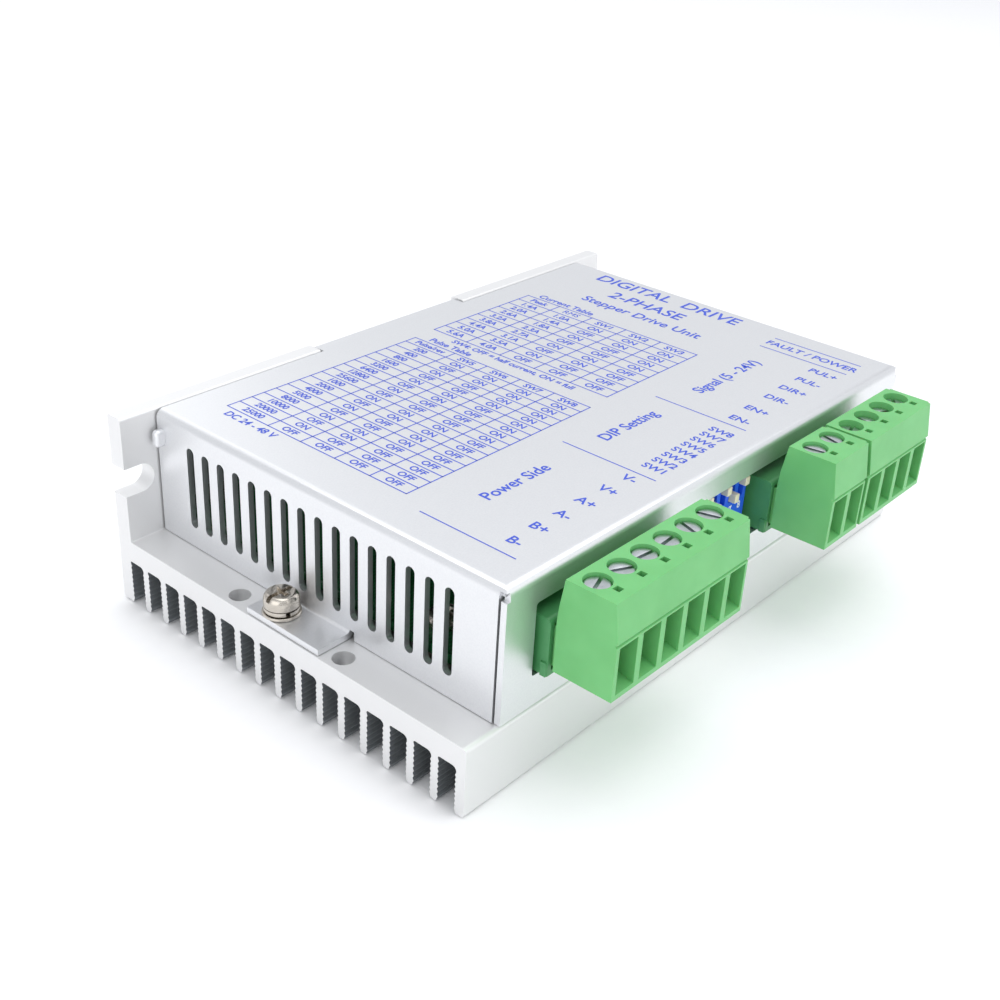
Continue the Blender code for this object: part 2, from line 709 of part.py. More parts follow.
def clamp_screws(body, ways, first, depth, counter):
    mesh = bpy.data.meshes.get("clamp_screw")
    if mesh is None:
        point, edge = CLAMP_POINT, CLAMP_EDGE
        profile = [(0, -CLAMP_LENGTH), (CLAMP_RADIUS - point, -CLAMP_LENGTH)]
        profile += [(CLAMP_RADIUS, point - CLAMP_LENGTH), (CLAMP_RADIUS, -CLAMP_HEAD_HEIGHT)]
        profile += [(CLAMP_HEAD, -CLAMP_HEAD_HEIGHT), (CLAMP_HEAD, -edge)]
        profile += [(CLAMP_HEAD - edge, 0), (0, 0)]
        mesh = mesh_of("clamp_screw", turned(profile, 16), STEEL)
    for i, x in enumerate(way_xs(ways, first)):
        angle = SLOT_ANGLES[counter + i]
        name = f"clamp_screw_{body.name[5:]}_{i + 1}"
        screw = add(name, mesh, (x, SCREW_Y, PLUG_TOP - depth), body, angle)
        half, deep = CLAMP_SLOT
        end = CLAMP_HEAD + OVERCUT
        shaped(screw, "slot", box((-end, -half, -deep), (end, half, OVERCUT)), "DIFFERENCE")


def wire_cages(body, ways, first):
    window_top = CAGE_TOP - CAGE_ROOF
    frame = box((-CAGE_HALF, CAGE_FRONT, CAGE_BOTTOM), (CAGE_HALF, CAGE_BACK, CAGE_TOP))
    mesh = mesh_of("wire_cage", frame, BRASS)
    for i, x in enumerate(way_xs(ways, first)):
        cage = add(f"wire_cage_{body.name[5:]}_{i + 1}", mesh, (x, 0, 0), body)
        inner = CAGE_HALF - CAGE_SIDE
        window = box(
            (-inner, CAGE_FRONT - OVERCUT, CAGE_BOTTOM + CAGE_SIDE),
            (inner, CAGE_BACK + OVERCUT, window_top),
        )
        tap = circle(0, SCREW_Y, CLAMP_RADIUS + THREAD_CLEARANCE, 16)
        shaped(cage, "window", window, "DIFFERENCE")
        shaped(cage, "tap", prism(tap, window_top - 0.3, CAGE_TOP + OVERCUT, "Z"), "DIFFERENCE")


def slide_switch():
    left = SWITCH_CENTRE - SWITCH_LENGTH / 2
    low = (left, SWITCH_FRONT, SWITCH_BOTTOM)
    high = (left + SWITCH_LENGTH, SWITCH_BACK, SWITCH_TOP)
    body = fixed("switch_body", box(low, high), SWITCH_BLUE)
    middle = KNOB_UP - KNOB_TRAVEL / 2
    windows = []
    half = KNOB_WIDTH / 2 + KNOB_CLEARANCE
    first = SWITCH_CENTRE - SWITCH_PITCH * (SWITCH_WAYS - 1) / 2
    for i in range(SWITCH_WAYS):
        x = first + SWITCH_PITCH * i
        low = (x - half, SWITCH_FRONT - OVERCUT, middle - WINDOW_HEIGHT / 2)
        windows.append(box(low, (x + half, SWITCH_FRONT + WINDOW_DEPTH, middle + WINDOW_HEIGHT / 2)))
    shaped(body, "windows", joined(windows), "DIFFERENCE")

    half, tall = KNOB_WIDTH / 2, KNOB_HEIGHT / 2
    depth = SWITCH_FRONT + WINDOW_DEPTH - GAP - KNOB_FRONT
    knob = mesh_of("switch_knob", box((-half, 0, -tall), (half, depth, tall)), KNOB_CREAM)
    for i in range(SWITCH_WAYS):
        z = KNOB_UP - (0 if i + 1 in SWITCHES_UP else KNOB_TRAVEL)
        add(f"switch_knob_{i + 1}", knob, (first + SWITCH_PITCH * i, KNOB_FRONT, z))


def lights():
    for name, x, finish in zip(
        ("power_light", "alarm_light"), LIGHT_XS, (LENS_GREEN, LENS_RED)
    ):
        dome = arc(0, 0, LIGHT_RADIUS, 0, 90, 4)[:-1]
        rim = 1 - LIGHT_LENGTH
        profile = [(0, -LIGHT_LENGTH), (LIGHT_RIM, -LIGHT_LENGTH), (LIGHT_RIM, rim)]
        profile += [(LIGHT_RADIUS, rim), *dome]
        lamp = moved(turned([*profile, (0, LIGHT_RADIUS)], 16), (0, 0, 0), (90, "X"))
        add(name, mesh_of(name, lamp, finish), (x, LIGHT_Y, LIGHT_Z))


for obj in list(bpy.data.objects):
    bpy.data.objects.remove(obj, do_unlink=True)

heatsink()
cover()
earth_point()
cover_screws()
board()
slide_switch()
lights()
placed_ways = 0
for block, way_count, first_x, head_depth in BLOCKS:
    header(block, way_count, first_x)
    block_body = plug(block, way_count, first_x)
    clamp_screws(block_body, way_count, first_x, head_depth, placed_ways)
    wire_cages(block_body, way_count, first_x)
    placed_ways += way_count
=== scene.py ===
"""Looks of a two-phase stepper driver module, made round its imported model.

Shapes are drawn in millimetres from the heatsink's lower front corner at the vent end: X along
the module, Y from the front to the back wall, Z up. drawn() puts them in the model's own frame.
"""

import json
from math import cos, radians, sin, tau

import bmesh
import bpy
from mathutils import Matrix, Vector

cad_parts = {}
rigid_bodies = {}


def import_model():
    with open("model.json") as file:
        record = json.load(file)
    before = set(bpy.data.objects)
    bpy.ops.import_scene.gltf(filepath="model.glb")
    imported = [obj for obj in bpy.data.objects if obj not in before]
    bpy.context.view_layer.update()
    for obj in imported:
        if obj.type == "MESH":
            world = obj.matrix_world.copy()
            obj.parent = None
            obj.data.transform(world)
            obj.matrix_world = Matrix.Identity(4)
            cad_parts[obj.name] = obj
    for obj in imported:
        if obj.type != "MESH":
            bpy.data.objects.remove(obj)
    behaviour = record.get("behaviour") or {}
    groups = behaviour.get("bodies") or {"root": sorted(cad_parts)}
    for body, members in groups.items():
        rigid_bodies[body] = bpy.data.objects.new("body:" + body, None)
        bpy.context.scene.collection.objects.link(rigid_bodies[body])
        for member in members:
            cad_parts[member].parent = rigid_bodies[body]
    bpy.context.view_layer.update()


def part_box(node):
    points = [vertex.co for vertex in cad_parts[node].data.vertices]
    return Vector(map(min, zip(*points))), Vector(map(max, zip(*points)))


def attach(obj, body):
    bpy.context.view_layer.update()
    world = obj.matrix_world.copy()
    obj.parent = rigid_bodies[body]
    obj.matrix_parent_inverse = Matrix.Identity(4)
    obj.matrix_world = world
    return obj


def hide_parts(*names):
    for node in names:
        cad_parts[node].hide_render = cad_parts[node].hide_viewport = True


for thing in list(bpy.data.objects):
    bpy.data.objects.remove(thing, do_unlink=True)
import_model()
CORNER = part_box("heatsink")[0]

# ---------------------------------------------------------------- studio
# The module stands on a sheet of white card. Soft boxes light it from above, in front and at
# the vent end, and the camera looks down on the corner between the vents and the terminals.

CAMERA_PLACE = (-103.5, -89.5, 124.3)
CAMERA_TURN = (61.0, -2.84, -48.61)
CAMERA_LENS = 48.8
CARD_SIZE = 4.0
CARD_DROP = 0.0002
SOFT_BOXES = (  # name, place in metres, size in metres, watts
    ("top_box", (0.15, -0.05, 0.75), 0.7, 2.6),
    ("front_box", (0.25, -0.75, 0.45), 0.6, 1.3),
    ("end_box", (-0.7, -0.1, 0.3), 0.6, 1.4),
    ("back_box", (0.2, 0.8, 0.5), 0.6, 0.8),
)


def linear(colour):
    """An sRGB hex colour as linear red, green, blue and alpha."""
    parts = [int(colour[i : i + 2], 16) / 255 for i in (1, 3, 5)]
    return (*[c / 12.92 if c <= 0.04045 else ((c + 0.055) / 1.055) ** 2.4 for c in parts], 1)


def per_mm(size):
    """The scale that gives a pattern on Object coordinates features of that many millimetres."""
    return 1000 / size


def add_node(tree, kind, inputs=None, **settings):
    """Adds a node. inputs maps a socket to its value, or to the output that feeds it."""
    node = tree.nodes.new(kind)
    for name, value in settings.items():
        setattr(node, name, value)
    for socket, value in (inputs or {}).items():
        if isinstance(value, bpy.types.NodeSocket):
            tree.links.new(value, node.inputs[socket])
        else:
            node.inputs[socket].default_value = value
    return node


def new_finish(name, sockets):
    """A material of one Principled shader, with the constants on its own sockets."""
    finish = bpy.data.materials.new(name)
    finish.use_nodes = True
    tree = finish.node_tree
    tree.nodes.clear()
    shader = add_node(tree, "ShaderNodeBsdfPrincipled", sockets)
    add_node(tree, "ShaderNodeOutputMaterial", {"Surface": shader.outputs["BSDF"]})
    spot = add_node(tree, "ShaderNodeTexCoord").outputs["Object"]
    return finish, tree, shader, spot


def dressed(tree, shader, tone=None, rough=None, bump=None):
    """Drives the shader from patterns: tone between two colours, rough between two values, and
    bump of a depth in metres and a strength."""
    if tone:
        mix = {0: tone[0], 6: linear(tone[1]), 7: linear(tone[2])}
        mix = add_node(tree, "ShaderNodeMix", mix, data_type="RGBA")
        tree.links.new(mix.outputs[2], shader.inputs["Base Color"])
    if rough:
        span = {"Value": rough[0], "To Min": rough[1], "To Max": rough[2]}
        span = add_node(tree, "ShaderNodeMapRange", span)
        tree.links.new(span.outputs["Result"], shader.inputs["Roughness"])
    if bump:
        relief = {"Height": bump[0], "Distance": bump[1], "Strength": bump[2]}
        relief = add_node(tree, "ShaderNodeBump", relief)
        tree.links.new(relief.outputs["Normal"], shader.inputs["Normal"])


def mottled(name, sockets, dark, light, patch, rough, grain, depth):
    """A finish whose tone drifts over patch mm, its roughness and a bump varying over grain mm."""
    finish, tree, shader, spot = new_finish(name, sockets)
    drift = {"Vector": spot, "Scale": per_mm(patch), "Detail": 2}
    drift = add_node(tree, "ShaderNodeTexNoise", drift).outputs["Fac"]
    skin = {"Vector": spot, "Scale": per_mm(grain), "Detail": 2}
    skin = add_node(tree, "ShaderNodeTexNoise", skin).outputs["Fac"]
    limits = (skin, rough - 0.08, rough + 0.08)
    dressed(tree, shader, (drift, dark, light), limits, (skin, depth / 1000, 0.5))
    return finish


# White card: uncoated paper with a faint fibre mottle.
card_white = mottled("white_card", {}, "#f7f7f8", "#fbfbfb", 3.0, 0.9, 0.5, 0.002)

bm = bmesh.new()
bmesh.ops.create_grid(bm, x_segments=1, y_segments=1, size=CARD_SIZE / 2)
card_mesh = bpy.data.meshes.new("card")
bm.to_mesh(card_mesh)
bm.free()
card = bpy.data.objects.new("card", card_mesh)
card.location.z = -CARD_DROP
card_mesh.materials.append(card_white)
bpy.context.scene.collection.objects.link(card)

for name, place, size, power in SOFT_BOXES:
    lamp = bpy.data.lights.new(name, "AREA")
    lamp.size = size
    lamp.energy = power
    box_light = bpy.data.objects.new(name, lamp)
    box_light.location = place
    box_light.rotation_euler = (-Vector(place)).to_track_quat("-Z", "Y").to_euler()
    bpy.context.scene.collection.objects.link(box_light)

room = bpy.data.worlds.new("room")
room.use_nodes = True
room.node_tree.nodes["Background"].inputs["Color"].default_value = linear("#f4f6fa")
room.node_tree.nodes["Background"].inputs["Strength"].default_value = 0.85
bpy.context.scene.world = room
bpy.context.scene.view_settings.view_transform = "Standard"

camera = bpy.data.objects.new("camera", bpy.data.cameras.new("camera"))
camera.data.lens = CAMERA_LENS
camera.data.clip_start = 0.01
camera.location = CORNER + Vector(CAMERA_PLACE) / 1000
camera.rotation_euler = [radians(a) for a in CAMERA_TURN]
bpy.context.scene.collection.objects.link(camera)
bpy.context.scene.camera = camera

# ---------------------------------------------------------------- heatsink
# One length of extruded aluminium: a wall along the back, a plate, and fins with fine ridges
# under it. It is sawn to length, slotted and drilled, etched matt and clear anodised.

WALL = 3.2
PLATE_TOP = 11.5
PLATE_BOTTOM = 7.8
FIN_GAPS = 16
FIN_PITCH = 4.53
FIN_GAP = 3.35
FIRST_GAP_BACK = 72.9
TIP_RADIUS = 0.35
ROOT_RADIUS = 0.8
BACK_ROOT_RADIUS = 0.3
EDGE_RADIUS = 0.45
FILLET = 0.2
RIDGES = 8
RIDGE_DEPTH = 0.2
RIDGE_INSET = 0.1
SLOT_WIDTH = 4.8
SLOT_INSET = 3.0
SLOT_HEIGHT = 22.0
LEDGE_HOLE_X = 2.6
LEDGE_HOLE_RADIUS = 1.7
LEDGE_GAPS = (5, 10)
EARTH_X = 3.05
EARTH_GAP = 7
SCREW_HOLE = 1.55
TAB_LEFT, TAB_RIGHT, TAB_DROP = 41.0, 76.0, 22.0
TAB_ROOM = 0.4
TAB_HOOK_SINK = 1.2
TAB_BACK_SINK = 1.1
TAB_SCREW_HOLE = 1.3
DRILL_DEPTH = 0.4
OVERCUT = 1.0
BURR = 0.12
SMOOTH_ANGLE = 32


def arc(centre_a, centre_b, radius, start, end, steps):
    """Points on a circular arc in a plane, from start to end degrees."""
    turns = [radians(start + (end - start) * i / steps) for i in range(steps + 1)]
    return [(centre_a + radius * cos(t), centre_b + radius * sin(t)) for t in turns]


def circle(centre_a, centre_b, radius, steps):
    return arc(centre_a, centre_b, radius, 0, 360, steps)[:-1]


def rounded(low_a, low_b, high_a, high_b, radius, steps=4):
    """A rectangle with round corners."""
    points = arc(high_a - radius, high_b - radius, radius, 0, 90, steps)
    points += arc(low_a + radius, high_b - radius, radius, 90, 180, steps)
    points += arc(low_a + radius, low_b + radius, radius, 180, 270, steps)
    return points + arc(high_a - radius, low_b + radius, radius, 270, 360, steps)


def prism(outline, low, high, axis):
    """A closed bar whose outline, in the plane across axis, runs from low to high along it."""
    spots = {
        "X": lambda a, b, c: (c, a, b),
        "Y": lambda a, b, c: (a, c, b),
        "Z": lambda a, b, c: (a, b, c),
    }
    bm = bmesh.new()
    ends = [[bm.verts.new(spots[axis](a, b, c)) for a, b in outline] for c in (low, high)]
    for end in ends:
        bm.faces.new(end)
    for i in range(len(outline)):
        j = (i + 1) % len(outline)
        bm.faces.new((ends[0][i], ends[0][j], ends[1][j], ends[1][i]))
    bmesh.ops.recalc_face_normals(bm, faces=bm.faces)
    return bm


def block(low, high):
    outline = [(low[0], low[1]), (high[0], low[1]), (high[0], high[1]), (low[0], high[1])]
    return prism(outline, low[2], high[2], "Z")


def turned(profile, steps, pitch=1.0):
    """A body turned about Z from (radius, height, thread depth) points, the ends at radius 0."""
    bm = bmesh.new()
    rings = []
    for radius, height, *depth in profile:
        if radius == 0:
            rings.append([bm.verts.new((0, 0, height))])
            continue
        ring = []
        for i in range(steps):
            turn = tau * i / steps
            wave = abs(2 * ((height / pitch - i / steps) % 1) - 1)
            out = radius - (depth[0] * wave if depth else 0)
            ring.append(bm.verts.new((out * cos(turn), out * sin(turn), height)))
        rings.append(ring)
    for lower, upper in zip(rings, rings[1:]):
        for i in range(steps):
            j = (i + 1) % steps
            around = (lower[i % len(lower)], lower[j % len(lower)])
            around += (upper[j % len(upper)], upper[i % len(upper)])
            bm.faces.new(list(dict.fromkeys(around)))
    bmesh.ops.recalc_face_normals(bm, faces=bm.faces)
    return bm


def thread(radius, low, high, pitch, depth):
    """The part of a turned profile that carries a screw thread."""
    rings = int((high - low) / pitch * 4)
    return [(radius, low + (high - low) * i / rings, depth) for i in range(rings + 1)]


def moved(bm, offset, turn=None):
    matrix = Matrix.Translation(offset)
    if turn:
        matrix = matrix @ Matrix.Rotation(radians(turn[0]), 4, turn[1])
    bmesh.ops.transform(bm, matrix=matrix, verts=bm.verts)
    return bm


def joined(parts):
    """Several meshes as one, each still its own body."""
    whole = bmesh.new()
    for part in parts:
        mesh = bpy.data.meshes.new("part")
        part.to_mesh(mesh)
        part.free()
        whole.from_mesh(mesh)
        bpy.data.meshes.remove(mesh)
    return whole


def drawn(name, bm, finish=None):
    """An object whose mesh is in its final place, from a mesh in millimetres."""
    matrix = Matrix.Translation(CORNER) @ Matrix.Scale(0.001, 4)
    bmesh.ops.transform(bm, matrix=matrix, verts=bm.verts)
    mesh = bpy.data.meshes.new(name)
    bm.to_mesh(mesh)
    bm.free()
    if finish:
        mesh.materials.append(finish)
    obj = bpy.data.objects.new(name, mesh)
    bpy.context.scene.collection.objects.link(obj)
    return obj


def settled(obj):
    """Turns what the object's modifiers make into its plain mesh."""
    bpy.context.view_layer.update()
    graph = bpy.context.evaluated_depsgraph_get()
    mesh = bpy.data.meshes.new_from_object(obj.evaluated_get(graph))
    obj.modifiers.clear()
    obj.data = mesh
    return obj


def carved(obj, *tools, operation="DIFFERENCE"):
    """Cuts the tools from the object, or joins them to it. A cut keeps its tool's finish."""
    for tool in tools:
        boolean = obj.modifiers.new(tool.name, "BOOLEAN")
        boolean.operation = operation
        boolean.solver = "EXACT"
        boolean.material_mode = "TRANSFER"
        boolean.object = tool
    settled(obj)
    for tool in tools:
        bpy.data.objects.remove(tool)
    return obj


def eased(obj, width, angle=40, segments=2):
    """Rounds the edges that turn by more than angle, by a width in millimetres."""
    bevel = obj.modifiers.new("eased", "BEVEL")
    bevel.width = width / 1000
    bevel.segments = segments
    bevel.limit_method = "ANGLE"
    bevel.angle_limit = radians(angle)
    return settled(obj)


def fitted(obj, body, slot, *nodes):
    """Shades the finished piece and hands it to the frame."""
    obj.data.shade_smooth()
    obj.data.set_sharp_from_angle(angle=radians(SMOOTH_ANGLE))
    weighted = obj.modifiers.new("weighted", "WEIGHTED_NORMAL")
    weighted.keep_sharp = True
    weighted.weight = 95
    settled(obj)
    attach(obj, body)
    if nodes:
        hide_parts(*nodes)
    return obj


def row_tree():
    """Geometry Nodes: copies of the object's mesh, one Step apart, made real, in one finish."""
    tree = bpy.data.node_groups.new("row", "GeometryNodeTree")
    sockets = (("Mesh", "Geometry"), ("Count", "Int"), ("Step", "Vector"), ("Finish", "Material"))
    for name, kind in sockets:
        tree.interface.new_socket(name, in_out="INPUT", socket_type=f"NodeSocket{kind}")
    tree.interface.new_socket("Row", in_out="OUTPUT", socket_type="NodeSocketGeometry")
    given = add_node(tree, "NodeGroupInput").outputs
    line = {"Count": given["Count"], "Offset": given["Step"]}
    line = add_node(tree, "GeometryNodeMeshLine", line, mode="OFFSET")
    copies = {"Points": line.outputs["Mesh"], "Instance": given["Mesh"]}
    copies = add_node(tree, "GeometryNodeInstanceOnPoints", copies)
    real = {"Geometry": copies.outputs["Instances"]}
    real = add_node(tree, "GeometryNodeRealizeInstances", real)
    coated = {"Geometry": real.outputs["Geometry"], "Material": given["Finish"]}
    coated = add_node(tree, "GeometryNodeSetMaterial", coated)
    add_node(tree, "NodeGroupOutput", {"Row": coated.outputs["Geometry"]})
    return tree


ROW = row_tree()


def in_row(obj, count, step, finish=None):
    """Repeats the object's mesh count times, step millimetres apart, as one plain mesh."""
    row = obj.modifiers.new("row", "NODES")
    row.node_group = ROW
    given = {"Count": count, "Step": Vector(step) / 1000, "Finish": finish}
    for socket in ROW.interface.items_tree:
        if given.get(socket.name) is not None:
            row[socket.identifier] = given[socket.name]
    return settled(obj)


def gap_centre(index):
    """The Y of the middle of one gap between fins, counted from the back wall."""
    return FIRST_GAP_BACK - FIN_GAP / 2 - FIN_PITCH * index


def middle(node):
    """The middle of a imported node, in millimetres from the heatsink's corner."""
    low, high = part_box(node)
    return ((low + high) / 2 - CORNER) * 1000


def extent(node):
    """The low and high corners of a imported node, in millimetres from the heatsink's corner."""
    return [(corner - CORNER) * 1000 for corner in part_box(node)]


def ridged(y, low, high, towards):
    """One side of a fin gap, from low to high, with ridges that stand into the gap."""
    step = (high - low) / RIDGES
    points = []
    for i in range(RIDGES):
        points += [(y, low + step * i), (y + towards * RIDGE_DEPTH, low + step * (i + 0.5))]
    return points + [(y, high)]


# Clear anodised aluminium, etched: a soft, even grey metal with a satin grain and faint die
# lines along the length, which the roughness and the bump carry.
sockets = {"Metallic": 0.7, "Base Color": linear("#e7e7e7")}
aluminium, tree, shader, spot = new_finish("clear_anodised_aluminium", sockets)
along = {"Vector": spot, "Scale": (per_mm(60), per_mm(0.5), per_mm(0.5))}
along = add_node(tree, "ShaderNodeMapping", along)
lines = {"Vector": along.outputs["Vector"], "Scale": 1.0, "Detail": 2.0}
lines = add_node(tree, "ShaderNodeTexNoise", lines)
grain = add_node(tree, "ShaderNodeTexNoise", {"Vector": spot, "Scale": per_mm(0.22), "Detail": 2})
both = {0: lines.outputs["Fac"], 1: grain.outputs["Fac"]}
both = add_node(tree, "ShaderNodeMath", both, operation="ADD").outputs["Value"]
rough = (grain.outputs["Fac"], 0.42, 0.58)
dressed(tree, shader, rough=rough, bump=(both, 0.000012, 0.6))

# Between the fins the metal is painted darker: painted shade for the shadow that falls in the fin
# gaps.
fin_gap_painted_shade_aluminium = mottled(
    "aluminium_painted_shade_between_fins", {"Metallic": 0.6}, "#808487", "#959a9d", 3.0, 0.5, 0.25, 0.01
)

LENGTH, WIDTH, HEIGHT = extent("heatsink")[1]
wall_face = WIDTH - WALL
inside = EDGE_RADIUS
outline = arc(WIDTH - inside, HEIGHT - inside, inside, 0, 90, 5)
outline += arc(wall_face + inside, HEIGHT - inside, inside, 90, 180, 5)
outline += arc(wall_face - FILLET, PLATE_TOP + FILLET, FILLET, 0, -90, 4)
outline += arc(ROOT_RADIUS, PLATE_TOP - ROOT_RADIUS, ROOT_RADIUS, 90, 180, 6)
outline += arc(inside, inside, inside, 180, 270, 5)
outline += arc(WIDTH - inside, inside, inside, 270, 360, 5)
heatsink = drawn("heatsink_extrusion", prism(outline, 0, LENGTH, "X"), aluminium)

gap_front = FIRST_GAP_BACK - FIN_GAP
root = PLATE_BOTTOM - ROOT_RADIUS
back_root = PLATE_BOTTOM - BACK_ROOT_RADIUS
outline = [(gap_front - TIP_RADIUS, -OVERCUT)]
outline += arc(gap_front - TIP_RADIUS, TIP_RADIUS, TIP_RADIUS, 270, 360, 4)
outline += ridged(gap_front, TIP_RADIUS + RIDGE_INSET, root - RIDGE_INSET, 1)
outline += arc(gap_front + ROOT_RADIUS, root, ROOT_RADIUS, 180, 90, 5)
outline += arc(FIRST_GAP_BACK - BACK_ROOT_RADIUS, back_root, BACK_ROOT_RADIUS, 90, 0, 3)
outline += ridged(FIRST_GAP_BACK, TIP_RADIUS + RIDGE_INSET, back_root - RIDGE_INSET, -1)[::-1]
outline += arc(FIRST_GAP_BACK + TIP_RADIUS, TIP_RADIUS, TIP_RADIUS, 180, 270, 4)
outline.append((FIRST_GAP_BACK + TIP_RADIUS, -OVERCUT))
gaps = drawn("fin_gaps", prism(outline, -OVERCUT, LENGTH + OVERCUT, "X"))
# The faces inside the fin gaps take the darker finish above: painted shade.
in_row(gaps, FIN_GAPS, (0, -FIN_PITCH, 0), fin_gap_painted_shade_aluminium)

slots = []
for inner, outer in ((SLOT_INSET, -OVERCUT), (LENGTH - SLOT_INSET, LENGTH + OVERCUT)):
    start = 90 if outer > inner else -90
    half = SLOT_WIDTH / 2
    slot_end = arc(inner, SLOT_HEIGHT, half, start, start + 180, 20)
    side = 1 if outer > inner else -1
    tail = [(outer, SLOT_HEIGHT - half * side), (outer, SLOT_HEIGHT + half * side)]
    slots.append(prism(slot_end + tail, wall_face - OVERCUT, WIDTH + OVERCUT, "Y"))

cover_high = extent("cover")[1]
tab_screws = [middle("cover_screw_left"), middle("cover_screw_right")]
notch_floor = cover_high.z - TAB_HOOK_SINK
recess_floor = cover_high.y - TAB_BACK_SINK
step = [(wall_face - OVERCUT, notch_floor), (recess_floor, notch_floor)]
step += [(recess_floor, TAB_DROP - TAB_ROOM), (WIDTH + OVERCUT, TAB_DROP - TAB_ROOM)]
step += [(WIDTH + OVERCUT, HEIGHT + OVERCUT), (wall_face - OVERCUT, HEIGHT + OVERCUT)]
recess = drawn("recess", prism(step, TAB_LEFT - TAB_ROOM, TAB_RIGHT + TAB_ROOM, "X"))

PLACES = ("back_left", "back_right", "front_left", "front_right")
standoffs = [middle(f"standoff_{place}") for place in PLACES]
holes = [(EARTH_X, gap_centre(EARTH_GAP), SCREW_HOLE)]
holes += [(post.x, post.y, SCREW_HOLE) for post in standoffs]
for x in (LEDGE_HOLE_X, LENGTH - LEDGE_HOLE_X):
    holes += [(x, gap_centre(i), LEDGE_HOLE_RADIUS) for i in LEDGE_GAPS]
drills = [
    prism(circle(x, y, radius, 32), PLATE_BOTTOM - DRILL_DEPTH, PLATE_TOP + OVERCUT, "Z")
    for x, y, radius in holes
]
drills += [
    prism(circle(screw.x, screw.z, TAB_SCREW_HOLE, 20), wall_face - OVERCUT, WIDTH, "Y")
    for screw in tab_screws
]
carved(heatsink, gaps, drawn("slots", joined(slots)), recess, drawn("drills", joined(drills)))
eased(heatsink, BURR, angle=50)
fitted(heatsink, "module", "anodised_aluminium", "heatsink")

# ---------------------------------------------------------------- cover
# Steel sheet, punched, folded down at the front and both ends and lacquered silver. A tab at
# the back hooks over the wall, and one at the vent end is clamped under the earth screw.

SHEET = 1.0
BEND = 1.4
BEND_STEPS = 10
COVER_LEFT = 6.4
COVER_FRONT = 0.1
COVER_BACK = 72.0
COVER_BOTTOM = 11.6
CORNER_GAP = 0.3
CORNER_HOLE = 0.8
CORNER_DROP = 0.5
CORNER_STEPS = 4
WING_INSET = 0.15
EARTH_TAB = (28.7, 44.1)
EARTH_TAB_TIP = 0.3
EARTH_BEND = 0.5
RELIEF = 0.9
VENTS = 16
FIRST_VENT = 64.0
VENT_PITCH = 3.62
VENT_WIDTH = 1.7
VENT_SPAN = (15.1, 29.0)
CUTOUT = (12.6, 16.6, 101.6, 28.3)
CUTOUT_RADIUS = 0.5
LIGHT_HOLE = 1.7
EARTH_HOLE = 1.7
COUNTERSINK = (1.45, 2.5)
LUG = ((4.9, 70.2, 27.0), (6.9, 71.8, 29.9))
LUG_EDGE = 0.7
BURR_SHEET = 0.09

# Silver lacquer over steel: a pale satin metal whose flake gives a fine sparkle and a slight
# orange peel, so that what is near it shows as a soft smear.
lacquer, tree, shader, spot = new_finish(
    "silver_lacquered_steel", {"Metallic": 0.9, "Coat Weight": 0.15, "Coat Roughness": 0.3}
)
flake = {"Vector": spot, "Scale": per_mm(0.25), "Detail": 2}
flake = add_node(tree, "ShaderNodeTexNoise", flake).outputs["Fac"]
peel = add_node(tree, "ShaderNodeTexNoise", {"Vector": spot, "Scale": per_mm(2.5), "Detail": 1})
heights = {0: flake, 1: peel.outputs["Fac"]}
heights = add_node(tree, "ShaderNodeMath", heights, operation="ADD").outputs["Value"]
tone = (flake, "#dfe0e3", "#ecedee")
dressed(tree, shader, tone, (flake, 0.33, 0.45), (heights, 0.000006, 0.5))

left, right, front = COVER_LEFT, LENGTH - COVER_LEFT, COVER_FRONT
shoulder = cover_high.z - BEND
bm = bmesh.new()
spots = {}


def face(*corners):
    """A face of the cover's outer skin, which shares its corners with the faces beside it."""
    for corner in corners:
        key = tuple(round(c, 4) for c in corner)
        if key not in spots:
            spots[key] = bm.verts.new(key)
    bm.faces.new([spots[tuple(round(c, 4) for c in corner)] for corner in corners])


def strip(path, low, high, axis):
    """Faces along a path of points in the plane across axis."""
    for (a, b), (c, d) in zip(path, path[1:]):
        if axis == "Y":
            face((a, low, b), (c, low, d), (c, high, d), (a, high, b))
        else:
            face((low, a, b), (low, c, d), (high, c, d), (high, a, b))


face(
    (left + BEND, front + BEND, cover_high.z),
    (right - BEND, front + BEND, cover_high.z),
    (right - BEND, COVER_BACK, cover_high.z),
    (TAB_RIGHT, COVER_BACK, cover_high.z),
    (TAB_LEFT, COVER_BACK, cover_high.z),
    (left + BEND, COVER_BACK, cover_high.z),
)
wall_front = front + SHEET + CORNER_GAP
fold = arc(BEND, shoulder, BEND, 90, 180, BEND_STEPS)
opening = BEND_STEPS - CORNER_STEPS
for i, ((a, b), (c, d)) in enumerate(zip(fold, fold[1:])):
    # The two folds meet in a mitre, down to the small hole punched at each front corner.
    y_high, y_low, x_high, x_low = a, c, a, c
    if i >= opening:
        y_high = y_low = wall_front - front
        x_high = x_low = CORNER_HOLE
    y_more = [(c, wall_front - front, d)] if i == opening - 1 else []
    x_more = [(CORNER_HOLE, c, d)] if i == opening - 1 else []
    for end, side in ((left, 1), (right, -1)):
        corners = [(a, y_high, b), (c, y_low, d), *y_more]
        corners = [(end + side * x, front + y, z) for x, y, z in corners]
        face(*corners, (end + side * c, COVER_BACK, d), (end + side * a, COVER_BACK, b))
    corners = [(x_high, a, b), (x_low, c, d), *x_more]
    near = [(left + x, front + y, z) for x, y, z in corners]
    far = [(right - x, front + y, z) for x, y, z in corners]
    face(*near, *far[::-1])
wing = shoulder - CORNER_DROP
face(
    (left + CORNER_HOLE, front, shoulder),
    (left + CORNER_HOLE, front, wing),
    (left + WING_INSET, front, wing),
    (left + WING_INSET, front, COVER_BOTTOM),
    (right - WING_INSET, front, COVER_BOTTOM),
    (right - WING_INSET, front, wing),
    (right - CORNER_HOLE, front, wing),
    (right - CORNER_HOLE, front, shoulder),
)
